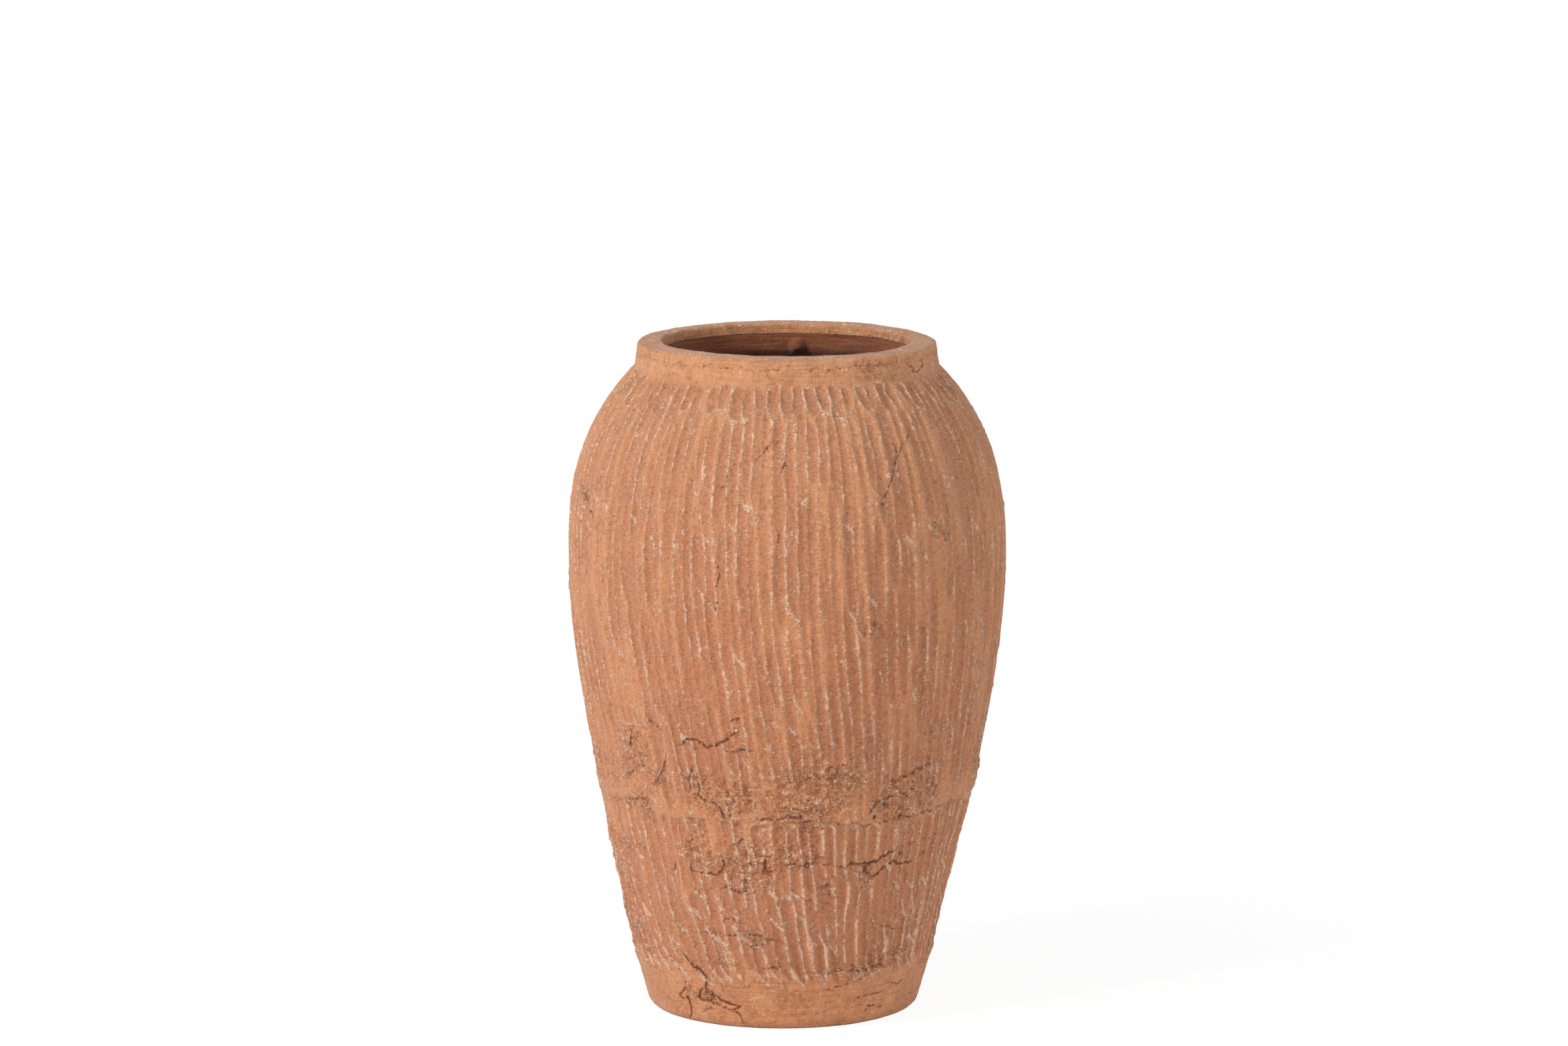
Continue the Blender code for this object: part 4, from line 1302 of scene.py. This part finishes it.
def clay_material(name):
    """Dry fired clay. The mesh says where its ridges, cracks, rough and wiped places are."""
    material = bpy.data.materials.new(name)
    material.use_nodes = True
    n = Nodes(material.node_tree)
    place = n.add("ShaderNodeTexCoord", {}).outputs["Object"]
    crest, deep, crack, rough, wiped, inside = (n.field(f) for f in FIELDS)
    patch = n.noise(place, (34, 34, 26), 3.0)
    clump = n.noise(place, (9, 9, 14), 3.0, 0.6)
    lump = n.noise(place, (2.4, 2.4, 2.8), 3.0, 0.55)
    fine = n.noise(place, (1.1, 1.1, 1.2), 3.0, 0.6)
    grit = n.noise(place, (0.5, 0.5, 0.5), 2.0, 0.6)
    streak = n.noise(place, (0.75, 0.75, 16), 3.0, 0.55)
    ripple = n.noise(place, (2.2, 2.2, 0.8), 2.0)
    flake = n.noise(place, (3.4, 3.4, 1.3), 3.0, 0.6)
    wipe = n.noise(place, (22, 22, 0.9), 4.0, 0.65)
    gouged = n.less(wiped)

    # The floors of the strokes are pinker and darker, the darkness partly painted shade in the hollows, and
    # the torn clay between them more orange
    orange = n.total((deep, -0.60), (rough, 0.16), (clump, 0.8), (patch, 0.3), (lump, 0.5))
    colour = n.mix(n.step(orange, -0.50, 0.20), SCOOP, ORANGE)
    colour = n.mix(n.times(n.step(n.total(rough, (lump, 1.6)), 0.45, 1.0), 0.40), colour, TAN)
    colour = n.mix(n.times(wiped, 0.15), colour, ORANGE)
    level = n.add("ShaderNodeSeparateXYZ", {0: place}).outputs["Z"]
    colour = n.mix(n.times(n.step(level, BELLY_SEAM - 60 * MM, TOP), 0.30), colour, DUST)

    # Pale crumbs along the ridges, and loose on torn clay
    crumbly = n.total((crest, 0.72), (lump, 2.4), (fine, 2.2), (clump, 1.5),
                      (rough, n.total(0.16, (flake, 1.5))), (wiped, -0.04))
    crumb = n.times(n.step(crumbly, 0.22, 0.90), n.total(0.95, (grit, 1.2), (ripple, 0.9)))
    colour = n.mix(n.times(crumb, 0.78), colour, PALE)

    # Streaks, ripples, wiping lines and grit change the tone a little, and the deep floors of the strokes are
    # darkened as painted shade
    speckle = n.times(n.total((grit, 1.10), (fine, 1.15)), n.total(0.55, (rough, 0.45)))
    mottle = n.times(lump, n.total(rough, (wiped, 0.4)), 0.80)
    tone = n.total(1.02, (deep, gouged, -0.08), (rough, -0.12), (wiped, -0.01), (streak, gouged, 0.40),
                   (ripple, gouged, 0.60), (wipe, wiped, 0.75), (clump, wiped, 0.55), mottle, speckle,
                   (lump, 0.40), (patch, 0.08))
    # Painted light: the gouged clay below the strong seam is lightened, standing in for light on its deeply
    # shaded relief
    painted_light_below_seam = n.times(n.step(level, MIDDLE_SEAM + 2 * MM, MIDDLE_SEAM - 8 * MM), gouged)
    tone = n.total(tone, (painted_light_below_seam, 0.06))
    colour = n.shade(colour, tone)
    # Painted shade: where the tone is low, the colour turns towards the red-brown pit colour, the reddish
    # cast of shade in clay
    colour = n.mix(n.times(n.step(tone, 0.96, 0.62), 0.40), colour, PIT_SHADE)

    # Pores, pits between the crumbs of torn clay, and short hairline cracks there, painted dark as the shade
    # inside these holes
    pore = n.step(n.total(fine, (grit, 0.5), (lump, 0.6)), -0.20, -0.34)
    loose = n.step(n.total(rough, clump), 0.20, 0.80)
    pit = n.times(n.step(n.total(flake, (fine, 0.5)), -0.11, -0.24), loose)
    contour = n.maths("ABSOLUTE", n.noise(place, (12, 12, 6), 5.0, 0.6))
    torn = n.total((rough, 0.45), (clump, 1.5), (lump, 0.8))
    hairline = n.times(n.step(contour, 0.022, 0.006), n.step(torn, 0.28, 0.56))
    pore = n.times(pore, n.total(0.14, (loose, 0.26)))
    hole = n.most(pore, n.times(pit, 0.58), n.times(hairline, 0.85))
    colour = n.mix(hole, colour, PIT_SHADE)

    # Cracks, broken into pits and shards, painted dark red-brown as the shade inside them, with painted shade
    # along their edge
    gap = n.total(crack, (lump, 0.9), fine)
    colour = n.shade(colour, n.less(n.times(n.step(gap, 0.8, 0.1), 0.20)))
    open_crack = n.step(gap, 0.24, -0.08)
    colour = n.mix(open_crack, colour, CRACK_SHADE)

    # The inside is plainer and a browner clay, and darker by painted shade of the hollow
    inside_colour_and_shade = n.mix(n.step(wipe, -0.2, 0.2), INSIDE, SCOOP)
    inside_colour_and_shade = n.shade(inside_colour_and_shade, n.times(n.less(n.times(open_crack, 0.7)), 0.55))
    colour = n.mix(inside, colour, inside_colour_and_shade)

    # The grain stands up from the surface, and holes and cracks sink into it
    height = n.total((grit, 0.26), (fine, 0.55), (lump, 0.45), (streak, gouged, 0.14), (ripple, gouged, 0.16),
                     (wipe, wiped, 0.14), (crumb, 0.34), (flake, rough, 0.6), (hole, -0.45),
                     (open_crack, -0.45))
    bump = n.add("ShaderNodeBump", {"Height": height, "Distance": MM, "Strength": 1.0})
    shader = n.add("ShaderNodeBsdfPrincipled", {
        "Base Color": colour, "Roughness": 0.92, "Specular IOR Level": 0.20, "Sheen Weight": 0.20,
        "Sheen Roughness": 0.45, "Normal": bump.outputs[0]})
    n.add("ShaderNodeOutputMaterial", {"Surface": shader.outputs[0]})
    return material


# Studio: the floor's size, the glow and the colour under the vase's shadow there, the colour that the floor
# throws back, the distances between which the shadow gives way to white, and the light of the room
FLOOR_SIZE = 6.0
FLOOR_GLOW = 0.92
FLOOR_SHADE = 0.12
FLOOR_COLOUR = 0.8
SHADE_REACH = (0.25, 0.60)
ROOM_LIGHT = 0.42

# Lamps: degrees round from the camera's side to the right and up, distance and width in metres, and about
# the level of a white card that faces the lamp
LAMPS = {"key": (-52, 30, 2.6, 0.9, 0.76), "fill": (60, 14, 3.0, 1.8, 0.29)}


def looked_at(n):
    """1 for what the camera sees, also in gloss or through glass, and 0 for other light."""
    rays = n.add("ShaderNodeLightPath", {}).outputs
    return n.most(rays["Is Camera Ray"], rays["Is Glossy Ray"], rays["Is Transmission Ray"])


def studio_floor():
    """A pale floor. The camera sees it white, apart from the vase's soft shadow close by."""
    half = FLOOR_SIZE / 2
    mesh = bpy.data.meshes.new("studio_floor")
    rim = [(-half, -half, 0), (half, -half, 0), (half, half, 0), (-half, half, 0)]
    mesh.from_pydata(rim, [], [(0, 1, 2, 3)])
    floor = put_in_scene("studio_floor", mesh)
    material = bpy.data.materials.new("studio_floor")
    material.use_nodes = True
    n = Nodes(material.node_tree)
    place = n.add("ShaderNodeTexCoord", {}).outputs["Object"]
    away = n.add("ShaderNodeVectorMath", {0: place}, operation="LENGTH").outputs["Value"]
    open_floor = n.step(away, *SHADE_REACH)
    plain = n.add("ShaderNodeBsdfDiffuse", {"Color": (FLOOR_COLOUR,) * 3}).outputs[0]
    shade = n.add("ShaderNodeBsdfDiffuse", {"Color": (FLOOR_SHADE,) * 3}).outputs[0]
    glow = n.add("ShaderNodeEmission", {"Strength": FLOOR_GLOW}).outputs[0]
    near = n.add("ShaderNodeAddShader", {0: shade, 1: glow}).outputs[0]
    white = n.add("ShaderNodeEmission", {"Strength": 1.0}).outputs[0]
    seen = n.add("ShaderNodeMixShader", {0: open_floor, 1: near, 2: white}).outputs[0]
    surface = n.add("ShaderNodeMixShader", {0: looked_at(n), 1: plain, 2: seen}).outputs[0]
    n.add("ShaderNodeOutputMaterial", {"Surface": surface})
    mesh.materials.append(material)


def studio_room():
    """An even room: it looks white, and lights softly."""
    world = bpy.data.worlds.new("studio")
    world.use_nodes = True
    bpy.context.scene.world = world
    n = Nodes(world.node_tree)
    strength = n.total(ROOM_LIGHT, (looked_at(n), 1 - ROOM_LIGHT))
    room = n.add("ShaderNodeBackground", {"Color": (1.0, 1.0, 1.0), "Strength": strength})
    n.add("ShaderNodeOutputWorld", {"Surface": room.outputs[0]})


def lamp(name, turn, rise, distance, size, level):
    """A square soft lamp aimed at the middle of the vase."""
    light = bpy.data.lights.new(name, "AREA")
    light.size = size
    light.energy = level * math.pi**2 * distance**2
    target = Vector((0, 0, TOP / 2))
    turn, rise = math.radians(turn), math.radians(rise)
    way = Vector((math.sin(turn) * math.cos(rise), -math.cos(turn) * math.cos(rise), math.sin(rise)))
    source = put_in_scene(name, light)
    source.location = target + way * distance
    source.rotation_euler = (-way).to_track_quat("-Z", "Y").to_euler()


def photo_camera():
    camera = bpy.data.cameras.new("photo_camera")
    camera.sensor_width = SENSOR
    camera.lens = LENS
    view = put_in_scene("photo_camera", camera)
    view.location = CAMERA_PLACE
    view.rotation_euler = (CAMERA_PITCH, 0, 0)
    bpy.context.scene.camera = view


def finish_piece(piece, node, material):
    piece.data.materials.append(material)
    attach(piece, "root")
    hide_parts(node)


GOUGED_NODES = ("lower_wall", "middle_wall", "rising_wall", "belly_wall", "shoulder_wall", "neck_wall")

outer = outer_skin()
inner = inner_skin(outer.places[-1])
gouged = clay_material("gouged_clay")
smoothed = clay_material("smoothed_clay")
for node in GOUGED_NODES:
    finish_piece(make_ring(node, outer, inner), node, gouged)
for node in ("foot_band", "neck_collar"):
    finish_piece(make_ring(node, outer, inner), node, smoothed)
finish_piece(make_slab(outer, inner), "floor_slab", smoothed)
finish_piece(make_lip(outer), "lip_coil", smoothed)

studio_floor()
studio_room()
for name, settings in LAMPS.items():
    lamp(name, *settings)
photo_camera()
bpy.context.scene.view_settings.view_transform = "Standard"
